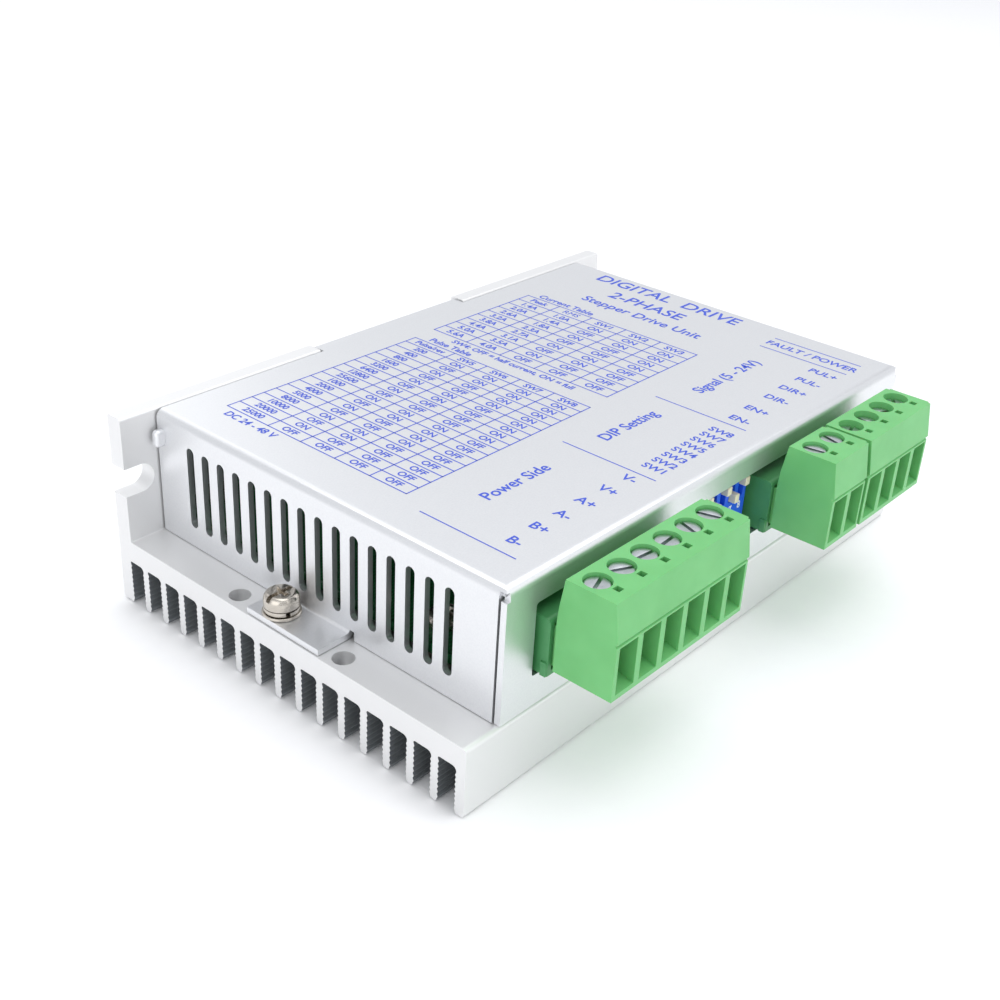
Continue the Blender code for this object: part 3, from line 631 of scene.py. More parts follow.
tab_front, tab_back = EARTH_TAB
notch_top = COVER_BOTTOM + SHEET + EARTH_BEND
tab = [(tab_back + RELIEF, COVER_BOTTOM), (tab_back + RELIEF, notch_top), (tab_back, notch_top)]
tab += [(tab_front, notch_top), (tab_front - RELIEF, notch_top), (tab_front - RELIEF, COVER_BOTTOM)]
for end, notch in ((left, tab), (right, [])):
    face(
        (end, COVER_BACK, shoulder),
        (end, COVER_BACK, COVER_BOTTOM),
        *[(end, y, z) for y, z in notch],
        (end, wall_front, COVER_BOTTOM),
        (end, wall_front, shoulder),
    )
foot = arc(left - EARTH_BEND, notch_top, EARTH_BEND, 0, -90, 6)
strip([*foot, (EARTH_TAB_TIP, foot[-1][1])], tab_front, tab_back, "Y")
hook = arc(cover_high.y - BEND, shoulder, BEND, 90, 0, BEND_STEPS)
strip([(COVER_BACK, cover_high.z), *hook, (cover_high.y, TAB_DROP)], TAB_LEFT, TAB_RIGHT, "X")
bmesh.ops.recalc_face_normals(bm, faces=bm.faces)
roof = max(bm.faces, key=lambda f: f.calc_area() * f.normal.z**2)
if roof.normal.z < 0:
    bmesh.ops.reverse_faces(bm, faces=bm.faces)
cover = drawn("cover_sheet", bm, lacquer)
thickness = cover.modifiers.new("sheet", "SOLIDIFY")
thickness.thickness = SHEET / 1000
thickness.offset = -1
thickness.use_even_offset = True
thickness.use_rim = True
settled(cover)

vent_low, vent_high = VENT_SPAN
half = VENT_WIDTH / 2
outline = rounded(FIRST_VENT - half, vent_low, FIRST_VENT + half, vent_high, half - 0.001, 10)
vents = drawn("vents", prism(outline, left - OVERCUT, right + OVERCUT, "X"))
in_row(vents, VENTS, (0, -VENT_PITCH, 0))
punches = [prism(rounded(*CUTOUT, CUTOUT_RADIUS), front - OVERCUT, front + BEND, "Y")]
light_spots = [middle("power_light"), middle("alarm_light")]
punches += [
    prism(circle(light.x, light.z, LIGHT_HOLE, 32), front - OVERCUT, front + BEND, "Y")
    for light in light_spots
]
hole = circle(EARTH_X, gap_centre(EARTH_GAP), EARTH_HOLE, 32)
punches.append(prism(hole, COVER_BOTTOM - OVERCUT, COVER_BOTTOM + 2 * SHEET, "Z"))
narrow, wide = COUNTERSINK
for screw in tab_screws:
    cone = [(0, -SHEET - 0.1), (narrow, -SHEET - 0.1), (narrow, -SHEET), (wide, 0.1), (0, 0.1)]
    punches.append(moved(turned(cone, 32), (screw.x, cover_high.y, screw.z), (-90, "X")))
lug_low, lug_high = LUG
lug = eased(drawn("locating_lug", block(lug_low, lug_high), lacquer), LUG_EDGE, segments=6)
carved(cover, vents, drawn("punches", joined(punches)))
carved(cover, lug, operation="UNION")
eased(cover, BURR_SHEET, angle=55)
fitted(cover, "module", "cover_sheet", "cover")

# ---------------------------------------------------------------- printed legend
# Two setting tables and the names of the terminals, screen printed on the cover in blue ink.
# The ink lies as a film on the lacquer; its words and figures are those of any such drive.

INK_BOTTOM = cover_high.z + 0.005
INK_THICK = 0.02
INK_LINE = 0.18
INK_SPREAD = 0.035
CAP_SHARE = 0.72
STEP_TABLE = (15.3, 26.6, 57.0, 65.8)
STEP_COLUMNS = (0, 9.6, 17.0, 24.4, 31.8, 39.2)
STEP_SPLIT = 8
AMP_TABLE = (62.2, 27.2, 88.3, 66.2)
AMP_COLUMNS = (0, 7.8, 15.6, 23.4, 31.2, 39.0)
AMP_ROWS = 8
FIRST_AMP = 1.4
AMP_STEP = 0.6
SWITCHES = 8
RULES = (13.15, 44.2, 68.4, 100.6, 105.8)
RULE_SPAN = (4.6, 21.8)
WAY_PITCH = 5.08
STEP_CAP, AMP_CAP, POWER_CAP, SIGNAL_CAP, SWITCH_CAP = 1.3, 1.45, 1.9, 1.7, 1.55
POWER_Y, SIGNAL_Y, SWITCH_Y = 7.6, 7.4, 6.9
HEADINGS = (  # words, cap height, X, Y, turn
    ("Pulse Table", 1.5, 58.4, 58.6, -90),
    ("Current Table", 1.6, 89.7, 58.0, -90),
    ("DC 24 - 48 V", 1.5, 13.6, 58.3, -90),
    ("SW4: OFF = half current, ON = full", 1.35, 60.7, 46.6, -90),
    ("DIGITAL  DRIVE", 3.4, 107.0, 47.0, -90),
    ("2-PHASE", 3.3, 101.0, 47.5, -90),
    ("Stepper Drive Unit", 2.5, 95.6, 45.0, -90),
    ("Power Side", 2.2, 29.2, 18.3, 0),
    ("DIP Setting", 2.2, 56.2, 18.3, 0),
    ("Signal (5 - 24V)", 2.2, 84.4, 18.3, 0),
    ("FAULT / POWER", 1.8, 103.2, 13.0, -90),
)

# Blue screen ink: satin, uneven where the screen's mesh left less of it.
ink_blue = mottled("blue_screen_ink", {}, "#2a46bd", "#4460d0", 0.5, 0.55, 0.3, 0.002)


def letters(text, cap, x, y, turn=-90):
    """Letters of a cap height in millimetres, centred on x, y and reading along turn degrees.

    The ink spreads the strokes a little. The narrow notches of an M leave it no room to."""
    curve = bpy.data.curves.new("letters", "FONT")
    curve.body = text
    curve.size = cap / CAP_SHARE
    curve.align_x = "CENTER"
    curve.align_y = "CENTER"
    curve.resolution_u = 3
    curve.offset = 0 if "M" in text else INK_SPREAD
    curve.extrude = INK_THICK / 2
    lettering = bpy.data.objects.new("letters", curve)
    bpy.context.scene.collection.objects.link(lettering)
    bpy.context.view_layer.update()
    graph = bpy.context.evaluated_depsgraph_get()
    mesh = bpy.data.meshes.new_from_object(lettering.evaluated_get(graph))
    bpy.data.objects.remove(lettering)
    made = bmesh.new()
    made.from_mesh(mesh)
    bpy.data.meshes.remove(mesh)
    bmesh.ops.remove_doubles(made, verts=made.verts, dist=0.0001)
    return moved(made, (x, y, INK_BOTTOM + INK_THICK / 2), (turn, "Z"))


def rule(x1, y1, x2, y2):
    """A printed line along X or Y."""
    half = INK_LINE / 2
    low = (min(x1, x2) - half, min(y1, y2) - half, INK_BOTTOM)
    return block(low, (max(x1, x2) + half, max(y1, y2) + half, INK_BOTTOM + INK_THICK))


def lattice(name, table, columns, rows):
    """A table's lines: the row lines are one line repeated, and so is each run of columns."""
    low_x, low_y, high_x, high_y = table
    across = drawn(f"{name}_rows", rule(low_x, low_y, low_x, high_y))
    in_row(across, rows + 1, ((high_x - low_x) / rows, 0, 0), ink_blue)
    fitted(across, "module", "switch_blue")
    along = drawn(f"{name}_edge", rule(low_x, high_y, high_x, high_y), ink_blue)
    fitted(along, "module", "switch_blue")
    pitch = columns[2] - columns[1]
    down = drawn(f"{name}_columns", rule(low_x, high_y - columns[1], high_x, high_y - columns[1]))
    in_row(down, len(columns) - 1, (0, -pitch, 0), ink_blue)
    fitted(down, "module", "switch_blue")


def state(row, bit):
    return "OFF" if row >> bit & 1 else "ON"


print_parts = []


def table_text(table, columns, rows, cap):
    """Writes a table's cells, the heading row first, at the far end of the table."""
    low_x, _, high_x, high_y = table
    pitch = (high_x - low_x) / len(rows)
    for i, cells in enumerate(rows):
        for start, end, cell in zip(columns, columns[1:], cells):
            place = (high_x - pitch * (i + 0.5), high_y - (start + end) / 2)
            print_parts.append(letters(cell, cap, *place))


step_counts = [200 * 2**i for i in range(STEP_SPLIT)] + [1000, 2000, 4000, 5000]
step_counts += [8000, 10000, 20000, 25000]
step_rows = [("Pulse/rev", "SW5", "SW6", "SW7", "SW8")]
for i, count in enumerate(step_counts):
    step_rows.append((str(count), *[state(i, bit) for bit in range(4)]))
amp_rows = [("Peak", "RMS", "SW1", "SW2", "SW3")]
for i in range(AMP_ROWS):
    peak = FIRST_AMP + AMP_STEP * i
    amp_rows.append((f"{peak:.1f}A", f"{peak / 2**0.5:.1f}A", *[state(i, bit) for bit in range(3)]))
lattice("step_table", STEP_TABLE, STEP_COLUMNS, len(step_rows))
lattice("amp_table", AMP_TABLE, AMP_COLUMNS, len(amp_rows))
table_text(STEP_TABLE, STEP_COLUMNS, step_rows, STEP_CAP)
table_text(AMP_TABLE, AMP_COLUMNS, amp_rows, AMP_CAP)
for heading in HEADINGS:
    print_parts.append(letters(*heading))
first_way = middle("clamp_screw_6way_1").x
for i, text in enumerate(("B-", "B+", "A-", "A+", "V+", "V-")):
    print_parts.append(letters(text, POWER_CAP, first_way + WAY_PITCH * i, POWER_Y))
for node, texts in (("2way", ("EN-", "EN+")), ("4way", ("DIR-", "DIR+", "PUL-", "PUL+"))):
    for i, text in enumerate(texts):
        x = middle(f"clamp_screw_{node}_{i + 1}").x
        print_parts.append(letters(text, SIGNAL_CAP, x, SIGNAL_Y))
for i in range(SWITCHES):
    x = middle(f"switch_knob_{i + 1}").x
    print_parts.append(letters(f"SW{i + 1}", SWITCH_CAP, x, SWITCH_Y))
for x in RULES:
    print_parts.append(rule(x, RULE_SPAN[0], x, RULE_SPAN[1]))
fitted(drawn("printed_words", joined(print_parts), ink_blue), "module", "switch_blue")

# ---------------------------------------------------------------- earth point
# A nickel plated pan head screw with a slot and a cross clamps the cover's tab to the
# heatsink, over a flat washer and a split spring washer.

EARTH_HEAD = 2.7
EARTH_CROSS = 1.3
SCREW_RADIUS = 1.45
SCREW_PITCH = 0.5
THREAD_DEPTH = 0.25
SPLIT = 14
SPLIT_TURN = 250
SPLIT_RISE = 0.14
CROSS_HALF = 1.45
CROSS_WIDE, CROSS_NARROW = 0.42, 0.28
CROSS_TAPER = 0.45
SLOT_ACROSS, SLOT_DOWN = 0.36, 0.8


def pan_screw(head, high, length):
    """A pan head screw about Z, threaded to its point, with its head's underside at Z 0."""
    thick = SCREW_RADIUS
    profile = [(0, -length), (thick - 0.4, -length), (thick - 0.2, 0.3 - length)]
    profile += thread(thick, 0.4 - length, -0.6, SCREW_PITCH, THREAD_DEPTH)
    profile += [(thick - 0.1, -0.5), (thick - 0.1, 0), (head - 0.08, 0), (head, 0.08)]
    rim = high * 0.4
    profile += [(head - 0.9 + 0.9 * a, rim + (high - rim) * b) for a, b in arc(0, 0, 1, 0, 84, 7)]
    return turned([*profile, (0, high)], 48, SCREW_PITCH)


def cross_cut(slot, deep):
    """The tapered cross of a screw head, and its slot when slot is more than 0."""
    cuts = []
    for along in (0, 90):
        taper = [(-CROSS_WIDE, 0.1), (CROSS_WIDE, 0.1)]
        taper += [(CROSS_NARROW, -deep), (-CROSS_NARROW, -deep)]
        bar = prism(taper, -CROSS_HALF, CROSS_HALF, "Y")
        for vert in bar.verts:
            vert.co.y *= 1 if vert.co.z > 0 else CROSS_TAPER
        cuts.append(moved(bar, (0, 0, 0), (along, "Z")))
    if slot:
        cuts.append(block((-slot, -SLOT_ACROSS, -SLOT_DOWN), (slot, SLOT_ACROSS, OVERCUT)))
    return cuts


# Bright nickel over steel: a slightly warm mirror, dulled by fine tumbling marks.
nickel = mottled(
    "bright_nickel_plate", {"Metallic": 1.0}, "#b5aea3", "#d3cdc4", 1.5, 0.26, 0.12, 0.004
)

earth_y = gap_centre(EARTH_GAP)
low, high = extent("earth_flat_washer")
edge = (high.x - low.x) / 2
thick = high.z - low.z
disc = [(0, 0), (edge - 0.1, 0), (edge, 0.1), (edge, thick - 0.1), (edge - 0.1, thick), (0, thick)]
place = (EARTH_X, earth_y, low.z)
washer = drawn("earth_flat_washer_made", moved(turned(disc, 64), place), nickel)
bore = prism(circle(EARTH_X, earth_y, SCREW_HOLE, 32), low.z - 1, low.z + 1, "Z")
carved(washer, drawn("bore", bore))
fitted(eased(washer, 0.04), "module", "plated_steel", "earth_flat_washer")

low, high = extent("earth_spring_washer")
start, end = SPLIT / 2, 360 - SPLIT / 2
edge = arc(0, 0, EARTH_HEAD, start, end, 60)
edge += arc(0, 0, SCREW_HOLE, end, start, 60)
spring = prism(edge, 0, high.z - low.z - SPLIT_RISE, "Z")
for vert in spring.verts:
    turn = (vert.co.xy.angle_signed(Vector((1, 0))) % tau) / tau
    vert.co.z += SPLIT_RISE * turn
spring = moved(spring, (EARTH_X, earth_y, low.z), (SPLIT_TURN, "Z"))
spring = drawn("earth_spring_washer_made", spring, nickel)
fitted(eased(spring, 0.07), "module", "plated_steel", "earth_spring_washer")

under = high.z + 0.05
low, high = extent("earth_screw")
screw = pan_screw(EARTH_HEAD, high.z - under, under - low.z)
screw = drawn("earth_screw_made", moved(screw, (EARTH_X, earth_y, under)), nickel)
cuts = cross_cut(EARTH_HEAD + OVERCUT, EARTH_CROSS)
cuts = [drawn("cut", moved(cut, (EARTH_X, earth_y, high.z))) for cut in cuts]
fitted(eased(carved(screw, *cuts), 0.06), "module", "plated_steel", "earth_screw")

# ---------------------------------------------------------------- cover screws
# Two small countersunk slotted screws, nickel plated, hold the cover's back tab to the wall.
# Their heads lie flush in dimples in the sheet.

TAB_HEAD = 2.3
TAB_SHANK = 1.2
TAB_SHANK_LENGTH = 2.9
TAB_SLOT = (2.8, 0.6, 0.28)
TAB_SLOT_TURN = 25

profile = [(0, -TAB_SHANK_LENGTH), (TAB_SHANK - 0.25, -TAB_SHANK_LENGTH)]
profile += [(TAB_SHANK, 0.25 - TAB_SHANK_LENGTH), (TAB_SHANK, -SHEET - 0.1)]
profile += [(TAB_HEAD, -0.12), (TAB_HEAD, -0.03), (0, 0)]
half_long, deep, half_wide = TAB_SLOT
for side, centre in zip(("left", "right"), tab_screws):
    place = (centre.x, cover_high.y - 0.05, centre.z)
    screw = moved(turned(profile, 40), place, (-90, "X"))
    screw = drawn(f"cover_screw_{side}_made", screw, nickel)
    slot = block((-half_long, -deep, -half_wide), (half_long, OVERCUT, half_wide))
    carved(screw, drawn("slot", moved(slot, place, (TAB_SLOT_TURN, "Y"))))
    fitted(eased(screw, 0.05), "module", "plated_steel", f"cover_screw_{side}")

# ---------------------------------------------------------------- board
# A glass fibre board on four brass spacers, screwed through to the heatsink. Its power
# transistors lie under it, on a soft grey pad that fills the gap to the aluminium.

LAMINATE_GRID = 1.27
TRACK_WIDTH = 0.45
BOARD_BORE = 1.65
BOARD_CROSS = 1.1
CAN_RADIUS = 5.0
CAN_SCORE = (3.4, 0.12)
STRIPE_HALF = 26
CHIPS = (  # X, Y, length, width, height, legs a side, their pitch
    (72.0, 40.0, 12.0, 10.0, 1.5, 14, 0.8),
    (84.0, 18.5, 10.2, 4.4, 2.2, 4, 2.54),
    (97.0, 18.5, 10.2, 4.4, 2.2, 4, 2.54),
    (96.0, 34.0, 8.6, 3.9, 1.4, 6, 1.27),
    (52.0, 30.0, 8.6, 3.9, 1.4, 6, 1.27),
)
LEG = (  # distance from the chip's side and height of one gull-wing leg
    *((0, 0.55), (0.35, 0.55), (0.6, 0.12), (1.0, 0.12)),
    *((1.0, 0), (0.5, 0), (0.25, 0.42), (0, 0.42)),
)
LEG_HALF = 0.16
RESISTOR_ROWS = (  # X, Y, count, step
    (22.0, 15.5, 10, 4.6),
    (24.0, 34.0, 9, 3.2),
    (82.0, 26.0, 7, 3.4),
    (60.0, 60.0, 12, 3.3),
)
RESISTOR_HALF = (0.55, 0.62)
CHOKE = (76.0, 48.0, 88.0, 60.0)
CHOKE_HEIGHT = 6.0

# Green solder mask on copper: tracks stand a little proud and lighter, in steps of a grid.
mask_green, tree, shader, spot = new_finish("green_solder_mask", {"Coat Weight": 0.3})
grid = {"Vector": spot, "Scale": per_mm(LAMINATE_GRID * 2)}
grid = add_node(tree, "ShaderNodeTexBrick", grid, offset=0.5)
grid.inputs["Mortar Size"].default_value = TRACK_WIDTH / LAMINATE_GRID / 8
weave = {"Vector": spot, "Scale": per_mm(0.5), "Detail": 1}
weave = add_node(tree, "ShaderNodeTexNoise", weave).outputs["Fac"]
dressed(tree, shader, (grid.outputs["Fac"], "#12532c", "#1f7240"), (weave, 0.25, 0.4))

solder = mottled(
    "bright_tin_solder", {"Metallic": 1.0}, "#b9bbbd", "#d8dadc", 0.8, 0.3, 0.1, 0.004
)
brass = mottled(
    "tinned_brass_barrel", {"Metallic": 1.0}, "#bdb69c", "#d2cdb8", 1.2, 0.3, 0.15, 0.004
)
epoxy = mottled("black_moulded_epoxy", {}, "#17181a", "#222326", 1.0, 0.6, 0.12, 0.01)
# Soft silicone pad: matt grey with a slightly open surface.
silicone = mottled("grey_silicone_pad", {}, "#747a82", "#868c94", 2.0, 0.85, 0.5, 0.05)

low, high = extent("main_board")
outline = rounded(low.x, low.y, high.x, high.y, 0.6)
board = drawn("main_board_laminate", prism(outline, low.z, high.z, "Z"), mask_green)
bores = [prism(circle(s.x, s.y, BOARD_BORE, 24), low.z - 1, high.z + 1, "Z") for s in standoffs]
carved(board, drawn("bores", joined(bores)))
fitted(eased(board, 0.06), "module", "board_green", "main_board")
board_top = high.z

for name, centre in zip(PLACES, standoffs):
    low, high = extent(f"standoff_{name}")
    post = prism(circle(centre.x, centre.y, (high.x - low.x) / 2, 6), low.z, high.z, "Z")
    post = drawn(f"standoff_{name}_made", post, brass)
    bore = prism(circle(centre.x, centre.y, BOARD_BORE, 24), low.z - 1, high.z + 1, "Z")
    post = eased(carved(post, drawn("bore", bore)), 0.1)
    fitted(post, "module", "tinned_brass", f"standoff_{name}")
    low, high = extent(f"board_screw_{name}")
    under = board_top + 0.1
    screw = pan_screw(EARTH_HEAD, high.z - under, under - low.z)
    screw = drawn(f"board_screw_{name}_made", moved(screw, (centre.x, centre.y, under)), nickel)
    place = (centre.x, centre.y, high.z)
    carved(screw, *[drawn("cut", moved(cut, place)) for cut in cross_cut(0, BOARD_CROSS)])
    fitted(eased(screw, 0.05), "module", "plated_steel", f"board_screw_{name}")

low, high = extent("thermal_pad")
outline = rounded(low.x, low.y, high.x, high.y, 1.5)
pad = drawn("thermal_pad_made", prism(outline, low.z, high.z, "Z"), silicone)
fitted(eased(pad, 0.4, segments=3), "module", "pad_grey", "thermal_pad")

# Each electrolytic capacitor wears a black shrink sleeve with a pale stripe down the front.
sleeve, tree, shader, spot = new_finish("black_shrink_sleeve", {"Roughness": 0.32})
height = add_node(tree, "ShaderNodeSeparateXYZ", {"Vector": spot}).outputs["Y"]
edge = middle("capacitor_left").y - CAN_RADIUS * cos(radians(STRIPE_HALF))
edge = CORNER.y + edge / 1000
stripe = add_node(tree, "ShaderNodeMath", {0: height, 1: edge}, operation="LESS_THAN")
dressed(tree, shader, (stripe.outputs["Value"], "#141518", "#b9bcc2"))
for side in ("left", "right"):
    low, high = extent(f"capacitor_{side}")
    centre = middle(f"capacitor_{side}")
    foot = (centre.x, centre.y, low.z)
    tall, wide = high.z - low.z, CAN_RADIUS
    can = [(0, 0.3), (wide - 0.6, 0.3), (wide - 0.5, 0), (wide - 0.1, 0.3), (wide, 0.7)]
    can += [(wide, 1.6), (wide - 0.35, 1.9), (wide - 0.35, 2.2), (wide, 2.6), (wide, tall - 0.5)]
    can += [(wide - 0.15, tall - 0.12), (wide - 0.5, tall), (wide - 1.0, tall), (0, tall - 0.15)]
    can = drawn(f"capacitor_{side}_made", moved(turned(can, 56), foot), sleeve)
    fitted(can, "module", "sleeve_black", f"capacitor_{side}")
    top = [(0, tall - 0.2), (wide - 1.2, tall - 0.2), (wide - 1.2, tall - 0.06), (0, tall - 0.06)]
    top = drawn(f"capacitor_{side}_top", moved(turned(top, 48), foot), solder)
    long, wide = CAN_SCORE
    score = [block((-a, -b, 0), (a, b, 1)) for a, b in ((long, wide), (wide, long))]
    place = (centre.x, centre.y, high.z - 0.12)
    carved(top, *[drawn("score", moved(bar, place, (45, "Z"))) for bar in score])
    fitted(top, "module", "sleeve_black")

for i, (x, y, long, wide, tall, legs, pitch) in enumerate(CHIPS):
    low = (x - long / 2, y - wide / 2, board_top + 0.12)
    chip = drawn(f"chip_{i + 1}", block(low, (x + long / 2, y + wide / 2, board_top + tall)), epoxy)
    fitted(eased(chip, 0.15), "module", "sleeve_black")
    first_leg = x - pitch * (legs - 1) / 2
    for side, face_y in ((-1, low[1]), (1, y + wide / 2)):
        bend = [(face_y + side * a, board_top + 0.01 + b) for a, b in LEG]
        leg = prism(bend, first_leg - LEG_HALF, first_leg + LEG_HALF, "X")
        leg = drawn(f"chip_{i + 1}_legs_{side + 2}", leg)
        fitted(in_row(leg, legs, (pitch, 0, 0), solder), "module", "plated_steel")

half_long, half_wide = RESISTOR_HALF
for i, (x, y, count, step) in enumerate(RESISTOR_ROWS):
    low = (x - half_long, y - half_wide, board_top + 0.02)
    part = block(low, (x + half_long, y + half_wide, board_top + 0.5))
    part = in_row(drawn(f"resistors_{i + 1}", part), count, (step, 0, 0), epoxy)
    fitted(part, "module", "sleeve_black")
    for end in (-1, 1):
        low = (x + end * 0.8 - 0.25, y - half_wide - 0.02, board_top)
        cap = block(low, (low[0] + 0.5, y + half_wide + 0.02, board_top + 0.52))
        cap = in_row(drawn(f"resistor_ends_{i + 1}_{end + 2}", cap), count, (step, 0, 0), solder)
        fitted(cap, "module", "plated_steel")

outline = rounded(*CHOKE, 2.2)
choke = drawn("choke", prism(outline, board_top + 0.1, board_top + CHOKE_HEIGHT, "Z"), epoxy)
fitted(eased(choke, 0.5, segments=3), "module", "sleeve_black")

# ---------------------------------------------------------------- headers
# Dark green polyamide sockets soldered along the front of the board, one for each terminal
# plug. Square tinned pins stand in them, bent down behind into the board.

HEADER_END = 2.95
HEADER_WALL = 0.8
HEADER_BACK_WALL = 1.5
HEADER_NOSE = 0.9
PIN_HALF = 0.5
PIN_TIP = 1.0
PIN_TAPER = 0.25
PIN_TAIL = 11.3
PIN_HOLE_SPAN = (5, 12)
PIN_Z = 21.6
FOOT = 0.28
WAYS = {"6way": 6, "2way": 2, "4way": 4}

# Glass filled polyamide: satin, with a fine moulded grain and faint flow marks.
header_green = mottled("dark_green_polyamide", {}, "#3f864f", "#4f965e", 3.0, 0.42, 0.2, 0.006)

for node, ways in WAYS.items():
    low, high = extent(f"header_{node}")
    outline = [(low.y, low.z), (high.y, low.z), (high.y, high.z)]
    outline += arc(low.y + HEADER_NOSE, high.z - HEADER_NOSE, HEADER_NOSE, 90, 180, 8)
    shell = drawn(f"header_{node}_shell", prism(outline, low.x, high.x, "X"), header_green)
    foot_low = (low.x - FOOT, low.y + 0.1, low.z)
    rib = drawn("rib", block(foot_low, (low.x + 0.3, low.y + 1.1, low.z + 2.2)))
    carved(shell, rib, operation="UNION")
    wall = HEADER_WALL
    cavity = block(
        (low.x + wall, low.y - OVERCUT, low.z + wall),
        (high.x - wall, high.y - HEADER_BACK_WALL, high.z - wall),
    )
    first = low.x + HEADER_END
    hole_front, hole_back = PIN_HOLE_SPAN
    hole = block(
        (first - PIN_HALF, hole_front, PIN_Z - PIN_HALF),
        (first + PIN_HALF, hole_back, PIN_Z + PIN_HALF),
    )
    holes = in_row(drawn("holes", hole), ways, (WAY_PITCH, 0, 0))
    carved(shell, drawn("cavity", cavity), holes)
    fitted(eased(shell, 0.13), "module", "header_green", f"header_{node}")
    outline = [(PIN_TIP, PIN_Z - PIN_TAPER), (PIN_TIP, PIN_Z + PIN_TAPER)]
    outline += [(PIN_TIP + 0.6, PIN_Z + PIN_HALF), (PIN_TAIL - 0.5, PIN_Z + PIN_HALF)]
    outline += [(PIN_TAIL, PIN_Z), (PIN_TAIL, board_top + 0.02), (PIN_TAIL - 1, board_top + 0.02)]
    outline += [(PIN_TAIL - 1, PIN_Z - PIN_HALF), (PIN_TIP + 0.6, PIN_Z - PIN_HALF)]
    pin = prism(outline, first - PIN_HALF + 0.02, first + PIN_HALF - 0.02, "X")
    pins = eased(drawn(f"header_{node}_pins", pin), 0.06)
    fitted(in_row(pins, ways, (WAY_PITCH, 0, 0), solder), "module", "tinned_brass")

# ---------------------------------------------------------------- terminal plugs
# Light green polyamide blocks that push into the headers. Each way has a screw well on top, a
# small test hole in front of it, a square wire entry and a sprung contact for the pin behind.

PLUG_SIDE = (  # Y and Z round one end, with the moulded groove above the wire entries
    (-2.4, 18.2),
    (-2.4, 26.3),
    (-2.6, 28.5),
    (-3.3, 33.0),
    (-11.4, 33.0),
    (-12.2, 27.4),
    (-12.2, 27.2),
    (-11.85, 27.0),
    (-11.85, 26.75),
    (-12.1, 26.6),
    (-12.1, 18.2),
)
ENTRY = (  # Y and Z round one wire entry: the floor rises to guide the wire into its cage
    (-13.2, 18.7),
    (-12.2, 18.95),
    (-8.9, 19.9),
    (-8.9, 19.05),
    (-3.5, 19.05),
    (-3.5, 26.3),
    (-13.2, 26.3),
)
PLUG_LEFT = 2.75
PLUG_RIGHT = 2.45
LIP = 0.42
LIP_HEIGHT = 2.5
LIP_Y = (-10.9, -3.9)
INSERT = (-2.8, 18.4, 6.2, 24.8)
INSERT_HALF = 2.0
ENTRY_HALF = 1.95
WELL_RADIUS = 2.0
WELL_DEPTH = 4.4
WELL_BOTTOM = 26.0
NECK = 1.4
TEST_BOTTOM = 27.3
TEST_HALF = 0.55
TEST_Y = -9.3
TEST_SHIFT = 0.3
PIN_HOLE = 0.7
PIN_HOLE_Y = -1.5
PLUG_EDGE = 0.12
LEAF_HALF, LEAF_FRONT, LEAF_DROP, LEAF_THICK = 0.4, -1.4, 0.68, 0.12

# Light green polyamide: satin and slightly waxy, with faint cloudy flow marks.
plug_green = mottled(
    "light_green_polyamide",
    {"Subsurface Weight": 0.12, "Subsurface Scale": 0.0008},
    "#61b066",
    "#73c278",
    5.0,
    0.4,
    0.22,
    0.006,
)

for node, ways in WAYS.items():
    first = middle(f"clamp_screw_{node}_1")
    x, screw_y = first.x, first.y
    top = extent(f"plug_{node}")[1].z
    right = x + WAY_PITCH * (ways - 1) + PLUG_RIGHT
    plug = drawn(f"plug_{node}_moulding", prism(PLUG_SIDE, x - PLUG_LEFT, right, "X"), plug_green)
    lip = block((right - LIP, LIP_Y[0], top - LIP_HEIGHT), (right + LIP, LIP_Y[1], top))
    front_y, low_z, back_y, high_z = INSERT
    insert = block(
        (x - INSERT_HALF, front_y, low_z),
        (x + WAY_PITCH * (ways - 1) + INSERT_HALF, back_y, high_z),
    )
    carved(plug, drawn("lip", lip), drawn("insert", insert), operation="UNION")
    shelf = top - WELL_DEPTH
    well = [(0, WELL_BOTTOM), (NECK, WELL_BOTTOM), (NECK, shelf), (WELL_RADIUS, shelf)]
    well += [(WELL_RADIUS, top + OVERCUT), (0, top + OVERCUT)]
    test_x = x + TEST_SHIFT
    tools = [
        moved(turned(well, 40), (x, screw_y, 0)),
        prism(ENTRY, x - ENTRY_HALF, x + ENTRY_HALF, "X"),
        block(
            (test_x - TEST_HALF, TEST_Y - TEST_HALF, TEST_BOTTOM),
            (test_x + TEST_HALF, TEST_Y + TEST_HALF, top + OVERCUT),
        ),
        block(
            (x - PIN_HOLE, PIN_HOLE_Y, PIN_Z - PIN_HOLE),
            (x + PIN_HOLE, back_y + OVERCUT, PIN_Z + PIN_HOLE),
        ),
    ]
    for i, tool in enumerate(tools):
        cutter = in_row(drawn(f"cutter_{i}", tool), ways, (WAY_PITCH, 0, 0))
        carved(plug, cutter)
    fitted(eased(plug, PLUG_EDGE, angle=35), f"plug_{node}", "plug_green", f"plug_{node}")
    leaf = block(
        (x - LEAF_HALF, LEAF_FRONT, PIN_Z - LEAF_DROP),
        (x + LEAF_HALF, back_y - 0.3, PIN_Z - LEAF_DROP + LEAF_THICK),
    )
    leaf = drawn(f"plug_{node}_contacts", leaf)
    fitted(in_row(leaf, ways, (WAY_PITCH, 0, 0), brass), f"plug_{node}", "tinned_brass")

# ---------------------------------------------------------------- clamp screws
# Slotted zinc plated steel screws, one in each well. Each one turns in its wire cage and
# draws it up; in the four-way plug they stand deeper in their wells.

CLAMP_HEAD = 1.85
CLAMP_HEAD_HEIGHT = 1.3
CLAMP_RADIUS = 1.2
CLAMP_LENGTH = 9.3
CLAMP_PITCH = 0.5
SLOT_HALF = 0.28
SLOT_DEEP = 0.75
SLOT_ANGLES = (20, -26, -6, 4, 72, -72, -79, 74, 15, 80, -25, 40)


